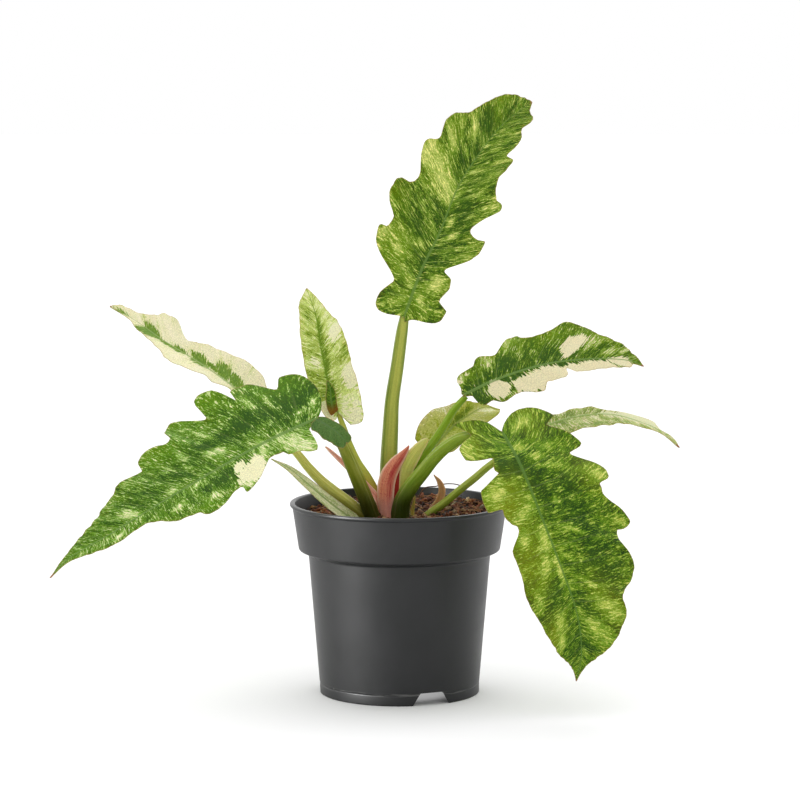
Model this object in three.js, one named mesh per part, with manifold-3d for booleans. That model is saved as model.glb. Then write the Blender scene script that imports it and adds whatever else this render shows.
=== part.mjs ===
// Potted climbing plant with long lobed variegated leaves in a round nursery pot.
// Millimetres, +Z up. The pot's axis stands at AXIS_X, AXIS_Y so that the origin is the middle
// of the whole plant's footprint, on the ground.
import * as THREE from 'three';
import { mergeVertices } from 'three/addons/utils/BufferGeometryUtils.js';
import Module from 'manifold-3d';

// where the pot's axis stands
const AXIS_X = 14.7;
const AXIS_Y = 10.3;

// clearance between neighbouring pieces
const GAP = 0.3;

// pot
const RIM_RADIUS = 60;
const POT_HEIGHT = 105;
const LIP_HEIGHT = 1.6;
const LIP_OVERHANG = 1.3;
const LIP_ROUND = 0.5;
const WALL = 1.4;
const COLLAR_FOOT_RADIUS = 55.2;
const COLLAR_FOOT_Z = 79.5;
const BODY_TOP_RADIUS = 49.9;
const BODY_TOP_Z = 77;
const FOOT_RADIUS = 43.9;
const FOOT_HEIGHT = 5.6;
const FOOT_WALL = 1.7;
const FLOOR_UNDERSIDE_Z = 6;
const FLOOR_TOP_Z = 7.5;
const POT_SEGMENTS = 48;

// notches in the foot edge
const NOTCH_DEGREES = [-66, 54, 174];
const NOTCH_FOOT_WIDTH = 20;
const NOTCH_TOP_WIDTH = 12.5;
const NOTCH_HEIGHT = 6.3;
const NOTCH_BELOW = 2;

// potting mix
const MIX_LEVEL = 98.5;
const MIX_BACK_RISE = 2.5;
const MIX_LEFT_DROP = 2;
const MIX_BUMP = 0.9;
const MIX_SIDE_TOP = 95.5;

// crown, the short stem that carries every stalk
const CROWN_RADIUS = 14;
const CROWN_BOTTOM = 82;
const CROWN_TOP = 101;
const CROWN_X = 0;
const CROWN_Y = -4;
const CROWN_SHOULDER = 7;
const CROWN_SEGMENTS = 16;

// blades
const BLADE_THICKNESS = 0.8;
const SHEATH_THICKNESS = 1;
const RIB_HALF_WIDTH = 1.7;
const RIB_DEPTH_AT_BASE = 2;
const RIB_DEPTH_AT_TIP = 0.4;
const ROW_SPACING = 1.25;
const STALK_SIDES = 8;
const GROOVE = 0.74;

// how far side veins lean to the tip, in degrees from square-on, along the rib
const BLADE_VEINS = [[0, -62], [0.03, -30], [0.08, 5], [0.2, 28], [0.5, 42], [0.85, 56], [1, 66]];
const SCALE_VEINS = [[0, 0], [0.15, 20], [0.6, 35], [1, 60]];

const COLOURS = {
  pot: 0x3d3f41,
  mix: 0x5a3628,
  crown: 0x4b3a22,
  green: 0x4c7a2c,
  pale: 0xc9d08a,
  cream: 0xe6e3c0,
  stalk: 0x8aa63c,
  pink: 0xc98a80,
  red: 0xa8323a,
  bud: 0xb9c47a,
  dry: 0xa07a52,
};

// Blades. rib: points along the midrib, base to tip. face: which way the upper side looks at
// the base, the middle and the tip. left and right, seen with the tip up: [station along the
// rib, reach along the side vein in mm]. lift: degrees each half rises from flat.
// curl: bend per mm of reach. wave: height, count and start of the ripple of each edge.
const BLADES = {
  blade_tall: {
    rib: [[2.5, 20, 205], [12.5, 23, 231.5], [22, 27, 250.5], [32, 31, 275], [43.5, 36, 293],
      [57, 41, 309.5], [73, 46, 321.5]],
    face: [[0.05, -1, 0.15], [-0.05, -1, 0.2], [-0.1, -1, 0.3]],
    lift: [12, 14],
    curl: [0.004, 0.003],
    wave: [[2.2, 6, 0.1], [1.8, 6, 0.4]],
    half: 30,
    left: [[0, 1.5], [0.013, 3.5], [0.036, 17], [0.047, 19], [0.057, 18.5], [0.087, 12.5],
      [0.144, 32], [0.168, 34.5], [0.176, 30], [0.185, 29.5], [0.199, 30.5], [0.214, 38],
      [0.242, 42], [0.273, 42.5], [0.311, 39.5], [0.342, 32], [0.391, 27.5], [0.464, 35],
      [0.507, 29], [0.554, 33.5], [0.579, 33], [0.654, 25.5], [0.798, 19.5], [0.966, 4.5], [1, 0.6]],
    right: [[0, 3], [0.021, 6], [0.055, 21], [0.068, 21.5], [0.077, 16], [0.114, 19],
      [0.134, 18.5], [0.159, 13], [0.196, 26.5], [0.232, 29.5], [0.27, 29.5], [0.279, 25],
      [0.321, 18.5], [0.346, 24.5], [0.36, 34], [0.373, 34.5], [0.401, 29.5], [0.489, 26],
      [0.522, 27.5], [0.567, 27.5], [0.615, 20.5], [0.639, 22.5], [0.677, 23.5], [0.713, 21.5],
      [0.76, 18], [0.78, 20.5], [0.926, 6.5], [1, 0.6]],
    colour: 'green',
  },
  blade_front_left: {
    rib: [[-44, -32, 155.5], [-70.5, -43, 144.5], [-97.5, -54, 130.5], [-125, -63, 115],
      [-152, -71, 99], [-173.5, -77, 87], [-184, -80, 77]],
    face: [[-0.1, -0.7, 0.7], [-0.15, -0.68, 0.7], [-0.25, -0.6, 0.7]],
    lift: [-4, 14],
    curl: [-0.004, -0.003],
    wave: [[1.8, 6, 0], [2, 6, 0.3]],
    half: 32,
    left: [[0, 1.5], [0.048, 4.5], [0.065, 18], [0.093, 14.5], [0.12, 13.5], [0.133, 10.5],
      [0.169, 11], [0.2, 20.5], [0.223, 24], [0.241, 24.5], [0.252, 20], [0.261, 19],
      [0.326, 25.5], [0.345, 26], [0.362, 24.5], [0.373, 22.5], [0.434, 19], [0.56, 8.5],
      [0.628, 10], [0.851, 2.5], [1, 0.6]],
    right: [[0, 1.5], [0.03, 26.5], [0.044, 32], [0.059, 34], [0.067, 27], [0.082, 34], [0.1, 38],
      [0.118, 38], [0.133, 36.5], [0.138, 30], [0.146, 38], [0.154, 43], [0.173, 45.5],
      [0.184, 44.5], [0.198, 32.5], [0.224, 43.5], [0.239, 46], [0.259, 44.5], [0.278, 41.5],
      [0.294, 34.5], [0.318, 33], [0.361, 37.5], [0.388, 36], [0.414, 29], [0.466, 29.5],
      [0.492, 28], [0.514, 25.5], [0.563, 23], [0.606, 18.5], [0.709, 11.5], [0.832, 4],
      [0.898, 2.5], [1, 0.6]],
    colour: 'green',
    lobe: {
      rib: [[-45, -32.5, 155], [-40, -35, 152.5], [-35, -37, 149.5], [-31, -38.5, 146], [-28.5, -39, 143]],
      face: [[0.35, -0.8, 0.6], [0.4, -0.8, 0.6], [0.5, -0.8, 0.5]],
      lift: [5, 5],
      curl: [-0.02, -0.02],
      half: 8,
      left: [[0, 1], [0.116, 3.5], [0.659, 5], [0.807, 3.5], [1, 0.6]],
      right: [[0, 3], [0.076, 7], [0.153, 6.5], [0.295, 8.5], [0.673, 7], [1, 0.6]],
    },
  },
  blade_back_left: {
    rib: [[-75.5, 9, 152], [-91, 16, 166], [-110, 24, 178.5], [-130, 31, 190], [-146, 37, 200.5],
      [-160.5, 42, 208.5]],
    face: [[0.4, -0.5, 0.75], [0.4, -0.5, 0.75], [0.45, -0.45, 0.75]],
    lift: [8, 20],
    curl: [-0.004, 0.004],
    wave: [[0.8, 4, 0], [0.8, 4, 0.5]],
    half: 20,
    left: [[0, 2], [0.05, 9], [0.12, 6], [0.198, 4], [0.248, 10], [0.295, 9], [0.353, 16],
      [0.398, 17.5], [0.438, 17.5], [0.471, 15], [0.62, 10], [0.694, 9], [0.798, 4], [0.886, 2],
      [1, 0.6]],
    right: [[0, 4], [0.04, 12], [0.088, 15], [0.132, 18], [0.189, 19], [0.24, 18.5],
      [0.309, 17.5], [0.381, 15], [0.457, 11], [0.48, 13], [0.503, 21], [0.529, 23], [0.56, 22.5],
      [0.641, 15], [0.789, 8.5], [0.842, 8.5], [0.906, 6.5], [1, 0.6]],
    colour: 'cream',
  },
  blade_upright: {
    rib: [[-34, 16, 152.5], [-39.5, 20, 170], [-43.5, 23, 189], [-46, 24, 205], [-51, 24, 220]],
    face: [[0.1, -1, 0.2], [0.05, -1, 0.1], [0, -1, 0]],
    lift: [14, 10],
    curl: [0.006, 0.004],
    wave: [[0.8, 4, 0], [1, 4, 0.4]],
    half: 17,
    left: [[0, 4], [0.02, 7.5], [0.063, 9], [0.107, 8.5], [0.244, 13], [0.663, 14], [0.799, 10],
      [0.884, 6], [1, 0.6]],
    right: [[0, 10], [0.021, 15.5], [0.05, 14.5], [0.085, 15.5], [0.346, 18], [0.504, 16],
      [0.632, 11], [0.903, 4], [1, 0.6]],
    colour: 'pale',
    lobe: {
      rib: [[-35, 15, 153], [-36.5, 11.5, 155.5], [-37.5, 10.5, 160], [-38, 11, 165.5],
        [-39.5, 12, 170.5]],
      face: [[0.1, -1, 0.1], [0.1, -1, 0.1], [0.1, -1, 0]],
      lift: [10, 10],
      curl: [0.02, 0.02],
      half: 6,
      left: [[0, 1], [0.095, 3.5], [0.499, 3.5], [0.852, 2], [1, 0.6]],
      right: [[0, 1], [0.047, 2], [0.536, 3.5], [0.841, 2], [1, 0.6]],
    },
  },
  blade_upper_right: {
    rib: [[35.5, 6, 163.5], [55, 2, 173], [79.5, -1, 181], [104, -2, 184], [123, -3, 183.5],
      [132.5, -4, 180.5]],
    face: [[0, -0.7, 0.75], [0, -0.7, 0.72], [0.1, -0.65, 0.75]],
    lift: [12, -6],
    curl: [-0.003, -0.006],
    wave: [[1.5, 4, 0], [1.5, 4, 0.5]],
    half: 25,
    left: [[0, 1.5], [0.025, 6], [0.033, 11], [0.048, 13], [0.081, 13.5], [0.093, 16.5],
      [0.111, 17.5], [0.161, 16], [0.188, 25], [0.213, 26], [0.254, 22], [0.32, 21],
      [0.349, 23.5], [0.385, 29.5], [0.415, 29], [0.541, 19.5], [0.682, 13.5], [0.761, 8], [1, 0.6]],
    right: [[0, 1.5], [0.045, 3], [0.079, 11.5], [0.112, 11.5], [0.139, 15], [0.16, 16],
      [0.215, 14.5], [0.271, 18], [0.296, 18], [0.344, 13], [0.404, 13.5], [0.436, 11],
      [0.46, 6], [0.48, 10], [0.586, 9], [0.76, 7], [0.857, 2], [1, 0.6]],
    colour: 'green',
  },
  blade_front_right: {
    rib: [[55, -36, 148.5], [64.5, -50, 132.5], [75, -61, 107.5], [85.5, -68, 81], [94, -72, 56.5],
      [96.5, -74, 36], [94, -74, 20.5]],
    face: [[0.2, -0.8, 0.6], [0.2, -0.9, 0.4], [0.15, -1, 0.1]],
    lift: [8, -2],
    curl: [-0.005, -0.006],
    wave: [[1.8, 6, 0], [1.8, 6, 0.5]],
    half: 32,
    left: [[0, 1.5], [0.02, 20], [0.038, 27.5], [0.056, 31], [0.061, 24.5], [0.085, 35],
      [0.108, 38], [0.132, 29.5], [0.146, 38.5], [0.167, 47], [0.179, 47.5], [0.199, 41],
      [0.219, 41], [0.254, 53], [0.27, 55.5], [0.298, 50], [0.308, 45.5], [0.345, 43.5],
      [0.387, 48], [0.406, 48.5], [0.429, 47.5], [0.528, 35], [0.569, 35], [0.6, 32.5],
      [0.793, 11.5], [0.847, 6.5], [0.899, 4], [1, 0.6]],
    right: [[0, 10], [0.01, 20], [0.021, 28.5], [0.028, 18], [0.052, 26], [0.07, 25.5],
      [0.078, 20], [0.092, 12], [0.128, 15], [0.144, 13.5], [0.154, 28], [0.196, 29.5],
      [0.23, 21], [0.251, 21.5], [0.275, 20], [0.299, 17], [0.309, 17.5], [0.33, 26],
      [0.384, 26.5], [0.454, 31], [0.536, 28], [0.583, 27.5], [0.651, 24], [0.829, 10],
      [0.925, 4], [1, 0.6]],
    colour: 'green',
  },
  blade_far_right: {
    rib: [[77, 11.5, 144.5], [96.5, 14, 150], [117, 17, 151], [135.5, 19.5, 145.5],
      [146, 21, 140], [154.5, 22, 132.5]],
    face: [[0, -0.3, 1], [0.05, -0.32, 1], [0.3, -0.35, 0.9]],
    lift: [10, -4],
    curl: [-0.004, -0.004],
    wave: [[0.8, 4, 0], [0.8, 4, 0.5]],
    half: 20,
    left: [[0, 2], [0.051, 9], [0.12, 7], [0.195, 9.5], [0.255, 9], [0.36, 5], [0.568, 8],
      [0.726, 2.5], [0.857, 4.5], [1, 0.6]],
    right: [[0, 4], [0.05, 11], [0.117, 14], [0.189, 15], [0.363, 11.5], [0.551, 6],
      [0.782, 2.5], [1, 0.6]],
    colour: 'cream',
  },
  blade_small_back: {
    rib: [[22.5, 20, 136.5], [31, 25, 144.5], [39, 29, 149.5], [47, 33, 153], [55.5, 37, 151.5]],
    face: [[-0.25, -0.85, 0.4], [-0.2, -0.8, 0.55], [-0.1, -0.8, 0.6]],
    lift: [10, 10],
    curl: [0.004, 0.002],
    wave: [[0.8, 3, 0], [0.8, 3, 0.5]],
    half: 20,
    left: [[0, 8], [0.015, 14.5], [0.113, 15.5], [0.222, 13], [0.376, 11], [0.725, 3],
      [0.857, 1.5], [1, 0.6]],
    right: [[0, 6], [0.05, 12], [0.323, 12], [0.422, 14], [0.529, 14.5], [0.8, 7], [1, 0.6]],
    colour: 'pale',
  },
};

// Sheaths and bracts, built as small thick blades without lobes.
const SHEATHS = {
  bract_variegated: {
    rib: [[-22, -15, 95], [-30, -17, 101], [-40, -15.5, 108.5], [-51, -12, 117.5], [-60, -9, 124.5],
      [-69.5, -6, 129.5]],
    face: [[0.3, -0.8, 0.5], [0.3, -0.8, 0.55], [0.3, -0.8, 0.6]],
    lift: [18, 18],
    curl: [0.03, 0.03],
    half: 6,
    left: [[0, 4], [0.3, 3.8], [0.7, 2.6], [1, 0.6]],
    right: [[0, 3], [0.3, 3], [0.7, 2.4], [1, 0.6]],
    colour: 'cream',
  },
  sheath_pink_left: {
    rib: [[-9, -6, 98], [-12, -7.5, 107], [-18, -8, 114.5], [-26.5, -9, 123.5], [-33.5, -11, 130.5],
      [-40, -12, 137]],
    face: [[0.4, -0.8, 0.4], [0.4, -0.8, 0.4], [0.4, -0.8, 0.4]],
    lift: [25, 25],
    curl: [0.05, 0.05],
    half: 4,
    left: [[0, 2.6], [0.5, 2.6], [0.9, 1.8], [1, 0.8]],
    right: [[0, 2.6], [0.5, 2.6], [0.9, 1.8], [1, 0.8]],
    colour: 'pink',
  },
  sheath_pink_centre: {
    rib: [[-6.5, -14, 98], [-7.5, -12.5, 108], [-6.5, -9.5, 118.5], [-2.5, -7, 127.5], [5, -4, 136.5]],
    face: [[-0.1, -1, 0.1], [-0.1, -1, 0.2], [-0.3, -1, 0.4]],
    lift: [-10, -10],
    curl: [-0.09, -0.09],
    half: 6,
    left: [[0, 3], [0.25, 5.8], [0.45, 6.6], [0.7, 5], [0.9, 2], [1, 0.6]],
    right: [[0, 2.5], [0.25, 4.5], [0.45, 4], [0.7, 3.2], [0.9, 1.8], [1, 0.6]],
    colour: 'pink',
  },
  sheath_red_inner: {
    rib: [[-2.5, -6, 101], [-1.5, -5.5, 112], [-0.5, -4.5, 120.5], [1, -3, 127.5], [3, -1.5, 132.5]],
    face: [[0, -1, 0.1], [0, -1, 0.2], [-0.1, -1, 0.3]],
    lift: [-8, -8],
    curl: [-0.06, -0.06],
    half: 6,
    left: [[0, 2], [0.4, 4], [0.8, 3], [1, 0.6]],
    right: [[0, 2], [0.4, 3.4], [0.8, 2.6], [1, 0.6]],
    colour: 'red',
  },
  sheath_green_bud: {
    rib: [[2, -5.5, 101], [2.5, -7, 113], [4.5, -7, 124], [9, -5, 132.5], [15.5, -2, 140]],
    face: [[0, -1, 0.1], [-0.1, -1, 0.2], [-0.3, -1, 0.4]],
    lift: [-8, -8],
    curl: [-0.08, -0.08],
    half: 6,
    left: [[0, 2], [0.3, 3], [0.6, 5.2], [0.85, 4], [1, 0.6]],
    right: [[0, 2], [0.3, 2.6], [0.6, 3.6], [0.85, 2.2], [1, 0.6]],
    colour: 'bud',
  },
  sheath_yellowish: {
    rib: [[7.5, -11.5, 95], [7, -11.5, 101], [7.6, -11.5, 105], [8.4, -11.5, 110]],
    face: [[0.2, -1, 0.1], [0.2, -1, 0.1], [0.2, -1, 0.1]],
    lift: [5, 5],
    curl: [0.05, 0.05],
    half: 3,
    left: [[0, 1.2], [0.6, 1.2], [1, 0.5]],
    right: [[0, 1.2], [0.6, 1.2], [1, 0.5]],
    colour: 'bud',
  },
  sheath_dry_brown: {
    rib: [[14, 2.5, 95], [18.5, 3, 101], [21.5, 3.5, 105], [23.3, 3.5, 110.5], [22, 3.5, 115.5],
      [19, 3.5, 119.5]],
    face: [[0.1, -1, 0.1], [0.1, -1, 0.1], [0.1, -1, 0.1]],
    lift: [10, 10],
    curl: [0.06, 0.06],
    half: 4,
    left: [[0, 1.8], [0.4, 2.4], [0.65, 2.4], [1, 0.5]],
    right: [[0, 1.8], [0.4, 2.4], [0.65, 2.2], [1, 0.5]],
    colour: 'dry',
  },
};

// Leaf stalks: [x, y, z, radius] from the crown up to the blade. groove: the channelled side.
const STALKS = {
  stalk_front_right: {
    path: [[-1, -12, 88, 5.5], [0, -14, 97.5, 5.3], [1.5, -15, 107.5, 4.8], [6, -17, 116, 4.4],
      [12.5, -20, 124.5, 4], [18.5, -24, 132.5, 3.7], [25.5, -28, 139.5, 3.4],
      [33.5, -31, 144.5, 3.1], [44.5, -33, 146.5, 2.7], [55.2, -35.4, 145.8, 2]],
    groove: [-0.5, -0.4, 0.8],
  },
  stalk_front_left: {
    path: [[-9, -12, 88, 4.6], [-13.5, -14, 96, 4.5], [-18, -16, 108.5, 4.2], [-22.5, -19, 120, 3.9],
      [-27, -23, 131.5, 3.6], [-31.5, -27, 142, 3.2], [-37, -30, 149, 2.8], [-44.3, -31, 153.6, 1.8]],
    groove: [0.5, -0.5, 0.7],
  },
  stalk_tall: {
    path: [[-5, 6, 88, 5], [-6, 10, 98, 5.2], [-6, 11, 121, 4.9], [-5, 13, 143, 4.4],
      [-4, 15, 159.5, 3.9], [-1.5, 17.5, 176, 3.7], [1.3, 20.5, 196, 3.3], [2.9, 22.4, 206, 2.4]],
    groove: [0.1, -1, 0],
  },
  stalk_back_left: {
    path: [[-12, -9.5, 91, 3.2], [-18.5, -12, 98.5, 3.4], [-26, -12, 105, 3.3], [-34, -10, 111, 3.1],
      [-43, -7, 118, 2.8], [-50, -4, 125, 2.5], [-57.5, 0, 133.5, 2.2], [-76.3, 10.4, 151.4, 1.4]],
    groove: [0.4, -0.6, 0.7],
  },
  stalk_upright: {
    path: [[-8, -2, 94, 2.8], [-10.5, -1, 102, 2.7], [-13, 1, 109.5, 2.6], [-17.5, 3.5, 118, 2.4],
      [-23, 7, 126, 2.2], [-27.5, 10.5, 135.5, 1.9], [-31, 14.5, 145, 1.6], [-34.4, 17.3, 153.5, 1.2]],
    groove: [0.4, -0.8, 0.3],
  },
  stalk_upper_right: {
    path: [[3, 0, 94, 2.7], [3.5, 0, 109, 2.6], [5.5, 0.5, 120.5, 2.5], [11, 1, 130, 2.4],
      [17, 2, 138, 2.2], [24, 3.5, 147.5, 2.1], [30, 5.5, 155.5, 2], [36.4, 7.2, 162.4, 1.6]],
    groove: [-0.6, -0.5, 0.5],
  },
  stalk_far_right: {
    path: [[8, -4, 93, 2.6], [13.5, -3, 96.5, 2.5], [17.5, -2, 99.5, 2.3], [25, -1, 105, 2.2],
      [33, 1, 111.5, 2.1], [41.5, 3, 118, 2.1], [49.5, 5, 124.5, 2], [63.5, 8, 134, 1.8],
      [77.8, 12, 143.1, 1.4]],
    groove: [-0.4, -0.5, 0.7],
  },
  stalk_small_back: {
    path: [[2.5, 6, 93, 2.2], [3.5, 9, 105, 2.1], [7, 11.5, 113.5, 2], [13, 14.5, 122, 1.8],
      [19.5, 18, 131.5, 1.6], [23.2, 21.4, 136.6, 1.3]],
    groove: [-0.6, -0.5, 0.5],
  },
};

// which stalk carries which blade
const BLADE_ON = {
  blade_tall: 'stalk_tall',
  blade_front_left: 'stalk_front_left',
  blade_back_left: 'stalk_back_left',
  blade_upright: 'stalk_upright',
  blade_upper_right: 'stalk_upper_right',
  blade_front_right: 'stalk_front_right',
  blade_far_right: 'stalk_far_right',
  blade_small_back: 'stalk_small_back',
};

const wasm = await Module();
wasm.setup();

const radians = THREE.MathUtils.degToRad;
const vector = (a) => new THREE.Vector3(a[0], a[1], a[2]);

// straight-line reading of a list of [station, value]
function read(list, station) {
  if (station <= list[0][0]) return list[0][1];
  for (let i = 1; i < list.length; i += 1) {
    const [s0, v0] = list[i - 1];
    const [s1, v1] = list[i];
    if (station <= s1) return v0 + ((v1 - v0) * (station - s0)) / (s1 - s0);
  }
  return list[list.length - 1][1];
}

// a closed solid from points and triangles
function solid(points, triangles) {
  const geometry = new THREE.BufferGeometry();
  geometry.setAttribute('position', new THREE.Float32BufferAttribute(points.flat(), 3));
  geometry.setIndex(triangles.flat());
  return toManifold(geometry);
}

function toManifold(source) {
  let geometry = source.clone();
  geometry.deleteAttribute('normal');
  geometry.deleteAttribute('uv');
  geometry = mergeVertices(geometry, 1e-4);
  const vertProperties = new Float32Array(geometry.attributes.position.array);
  const triVerts = new Uint32Array(geometry.index.array);
  return new wasm.Manifold(new wasm.Mesh({ numProp: 3, vertProperties, triVerts }));
}

function toGeometry(manifold) {
  const mesh = manifold.getMesh();
  const points = [];
  for (let i = 0; i < mesh.vertProperties.length; i += mesh.numProp) {
    points.push(mesh.vertProperties[i], mesh.vertProperties[i + 1], mesh.vertProperties[i + 2]);
  }
  const geometry = new THREE.BufferGeometry();
  geometry.setAttribute('position', new THREE.Float32BufferAttribute(points, 3));
  geometry.setIndex([...mesh.triVerts]);
  geometry.computeVertexNormals();
  return geometry;
}

// the biggest of the bodies a cut leaves
function biggest(manifold) {
  const bodies = manifold.decompose();
  bodies.sort((a, b) => b.volume() - a.volume());
  return bodies[0];
}

// The stations of the rows across a blade: every point of either edge, and fillers.
function rowsOf(spec, curve, fillers) {
  const wanted = [...spec.left, ...spec.right].map((p) => p[0]);
  for (let i = 0; i <= fillers; i += 1) wanted.push(i / fillers);
  wanted.sort((a, b) => a - b);
  const spacing = ROW_SPACING / curve.getLength();
  const rows = [];
  for (const s of wanted) {
    if (!rows.length || s - rows[rows.length - 1] > spacing) rows.push(s);
  }
  rows[rows.length - 1] = 1;
  return rows;
}

// A point of a blade's middle surface, at a reach along the side vein that starts at a station.
function bladePoint(spec, curve, veins, station, side, reach) {
  const at = curve.getPoint(station);
  const along = curve.getTangent(station);
  const faces = spec.face.map(vector);
  const half = station < 0.5 ? 0 : 1;
  const up = faces[half].clone().lerp(faces[half + 1], station * 2 - half);
  up.addScaledVector(along, -up.dot(along)).normalize();
  const across = along.clone().cross(up);
  const lean = radians(read(veins, station));
  const which = side < 0 ? 0 : 1;
  const lift = radians(spec.lift[which]) * Math.cos(lean);
  const curl = spec.curl[which];
  const out = (Math.sin(lift + curl * reach) - Math.sin(lift)) / curl;
  let rise = (Math.cos(lift) - Math.cos(lift + curl * reach)) / curl;
  if (spec.wave) {
    const [height, count, start] = spec.wave[which];
    const share = Math.min(reach / spec.half, 1.3);
    rise += height * Math.sin(2 * Math.PI * (count * station + start)) * share * share;
  }
  at.addScaledVector(across, side * Math.cos(lean) * out);
  at.addScaledVector(along, Math.sin(lean) * out);
  at.addScaledVector(up, rise);
  return at;
}

// A blade as a closed sheet: upper and lower grid with the same diagonals, and its edges.
function blade(spec, veins, thickness, ribbed, grow) {
  const curve = new THREE.CatmullRomCurve3(spec.rib.map(vector), false, 'catmullrom', 0.5);
  const rows = rowsOf(spec, curve, ribbed ? 8 : 5);
  const middle = [];
  for (const station of rows) {
    const left = read(spec.left, station) + grow;
    const right = read(spec.right, station) + grow;
    const rib = Math.min(RIB_HALF_WIDTH, 0.35 * Math.min(left, right));
    const row = [];
    const reaches = ribbed ? [[-1, left], [-1, (left + rib) / 2], [-1, rib]] : [[-1, left], [-1, left / 2]];
    for (const [side, reach] of reaches) row.push(bladePoint(spec, curve, veins, station, side, reach));
    row.push(bladePoint(spec, curve, veins, station, 1, 0));
    const back = ribbed ? [[1, rib], [1, (right + rib) / 2], [1, right]] : [[1, right / 2], [1, right]];
    for (const [side, reach] of back) row.push(bladePoint(spec, curve, veins, station, side, reach));
    middle.push(row);
  }
  const columns = middle[0].length;
  const centre = (columns - 1) / 2;
  const upper = [];
  const lower = [];
  for (let i = 0; i < rows.length; i += 1) {
    for (let j = 0; j < columns; j += 1) {
      const ahead = middle[Math.min(i + 1, rows.length - 1)][j];
      const behind = middle[Math.max(i - 1, 0)][j];
      const rightward = middle[i][Math.min(j + 1, columns - 1)];
      const leftward = middle[i][Math.max(j - 1, 0)];
      const normal = rightward.clone().sub(leftward).cross(ahead.clone().sub(behind)).normalize();
      const top = middle[i][j].clone().addScaledVector(normal, thickness / 2 + grow);
      let depth = thickness / 2 + grow;
      if (ribbed && j === centre) {
        depth += RIB_DEPTH_AT_BASE + (RIB_DEPTH_AT_TIP - RIB_DEPTH_AT_BASE) * rows[i];
      }
      const bottom = middle[i][j].clone().addScaledVector(normal, -depth);
      upper.push(top.toArray());
      lower.push(bottom.toArray());
    }
  }
  const points = [...upper, ...lower];
  const below = upper.length;
  const triangles = [];
  const quad = (a, b, c, d) => triangles.push([a, b, c], [a, c, d]);
  for (let i = 0; i + 1 < rows.length; i += 1) {
    for (let j = 0; j + 1 < columns; j += 1) {
      const a = i * columns + j;
      const b = a + 1;
      const c = a + columns + 1;
      const d = a + columns;
      quad(a, b, c, d);
      triangles.push([a + below, c + below, b + below], [a + below, d + below, c + below]);
    }
    const l0 = i * columns;
    const l1 = l0 + columns;
    quad(l0, l1, l1 + below, l0 + below);
    const r0 = l0 + columns - 1;
    const r1 = r0 + columns;
    quad(r0, r0 + below, r1 + below, r1);
  }
  const last = (rows.length - 1) * columns;
  for (let j = 0; j + 1 < columns; j += 1) {
    quad(j, j + below, j + 1 + below, j + 1);
    quad(last + j, last + j + 1, last + j + 1 + below, last + j + below);
  }
  return solid(points, triangles);
}

// A tapered stalk with a channel along one side.
function stalk(spec, grow) {
  const curve = new THREE.CatmullRomCurve3(spec.path.map(vector), false, 'catmullrom', 0.5);
  const sections = (spec.path.length - 1) * 2;
  const groove = vector(spec.groove);
  const points = [];
  const triangles = [];
  for (let i = 0; i <= sections; i += 1) {
    const share = i / sections;
    const place = share * (spec.path.length - 1);
    const first = Math.min(Math.floor(place), spec.path.length - 2);
    const part = place - first;
    const radius = spec.path[first][3] * (1 - part) + spec.path[first + 1][3] * part + grow;
    const at = curve.getPoint(share);
    const along = curve.getTangent(share);
    if (i === sections) at.addScaledVector(along, grow);
    const up = groove.clone().addScaledVector(along, -groove.dot(along)).normalize();
    const across = along.clone().cross(up);
    for (let k = 0; k < STALK_SIDES; k += 1) {
      const turn = (2 * Math.PI * k) / STALK_SIDES;
      const r = k === 0 ? radius * GROOVE : radius;
      const point = at.clone();
      point.addScaledVector(up, r * Math.cos(turn));
      point.addScaledVector(across, r * Math.sin(turn));
      points.push(point.toArray());
    }
  }
  for (let i = 0; i < sections; i += 1) {
    for (let k = 0; k < STALK_SIDES; k += 1) {
      const a = i * STALK_SIDES + k;
      const b = i * STALK_SIDES + ((k + 1) % STALK_SIDES);
      triangles.push([a, b + STALK_SIDES, a + STALK_SIDES], [a, b, b + STALK_SIDES]);
    }
  }
  const top = sections * STALK_SIDES;
  for (let k = 2; k < STALK_SIDES; k += 1) {
    triangles.push([1, (k + 1) % STALK_SIDES, k]);
    triangles.push([top + 1, top + k, top + ((k + 1) % STALK_SIDES)]);
  }
  return solid(points, triangles);
}

function lathe(profile, segments) {
  const outline = profile.map(([r, z]) => new THREE.Vector2(r, z));
  const geometry = new THREE.LatheGeometry(outline, segments);
  geometry.rotateX(Math.PI / 2);
  return geometry;
}

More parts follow.
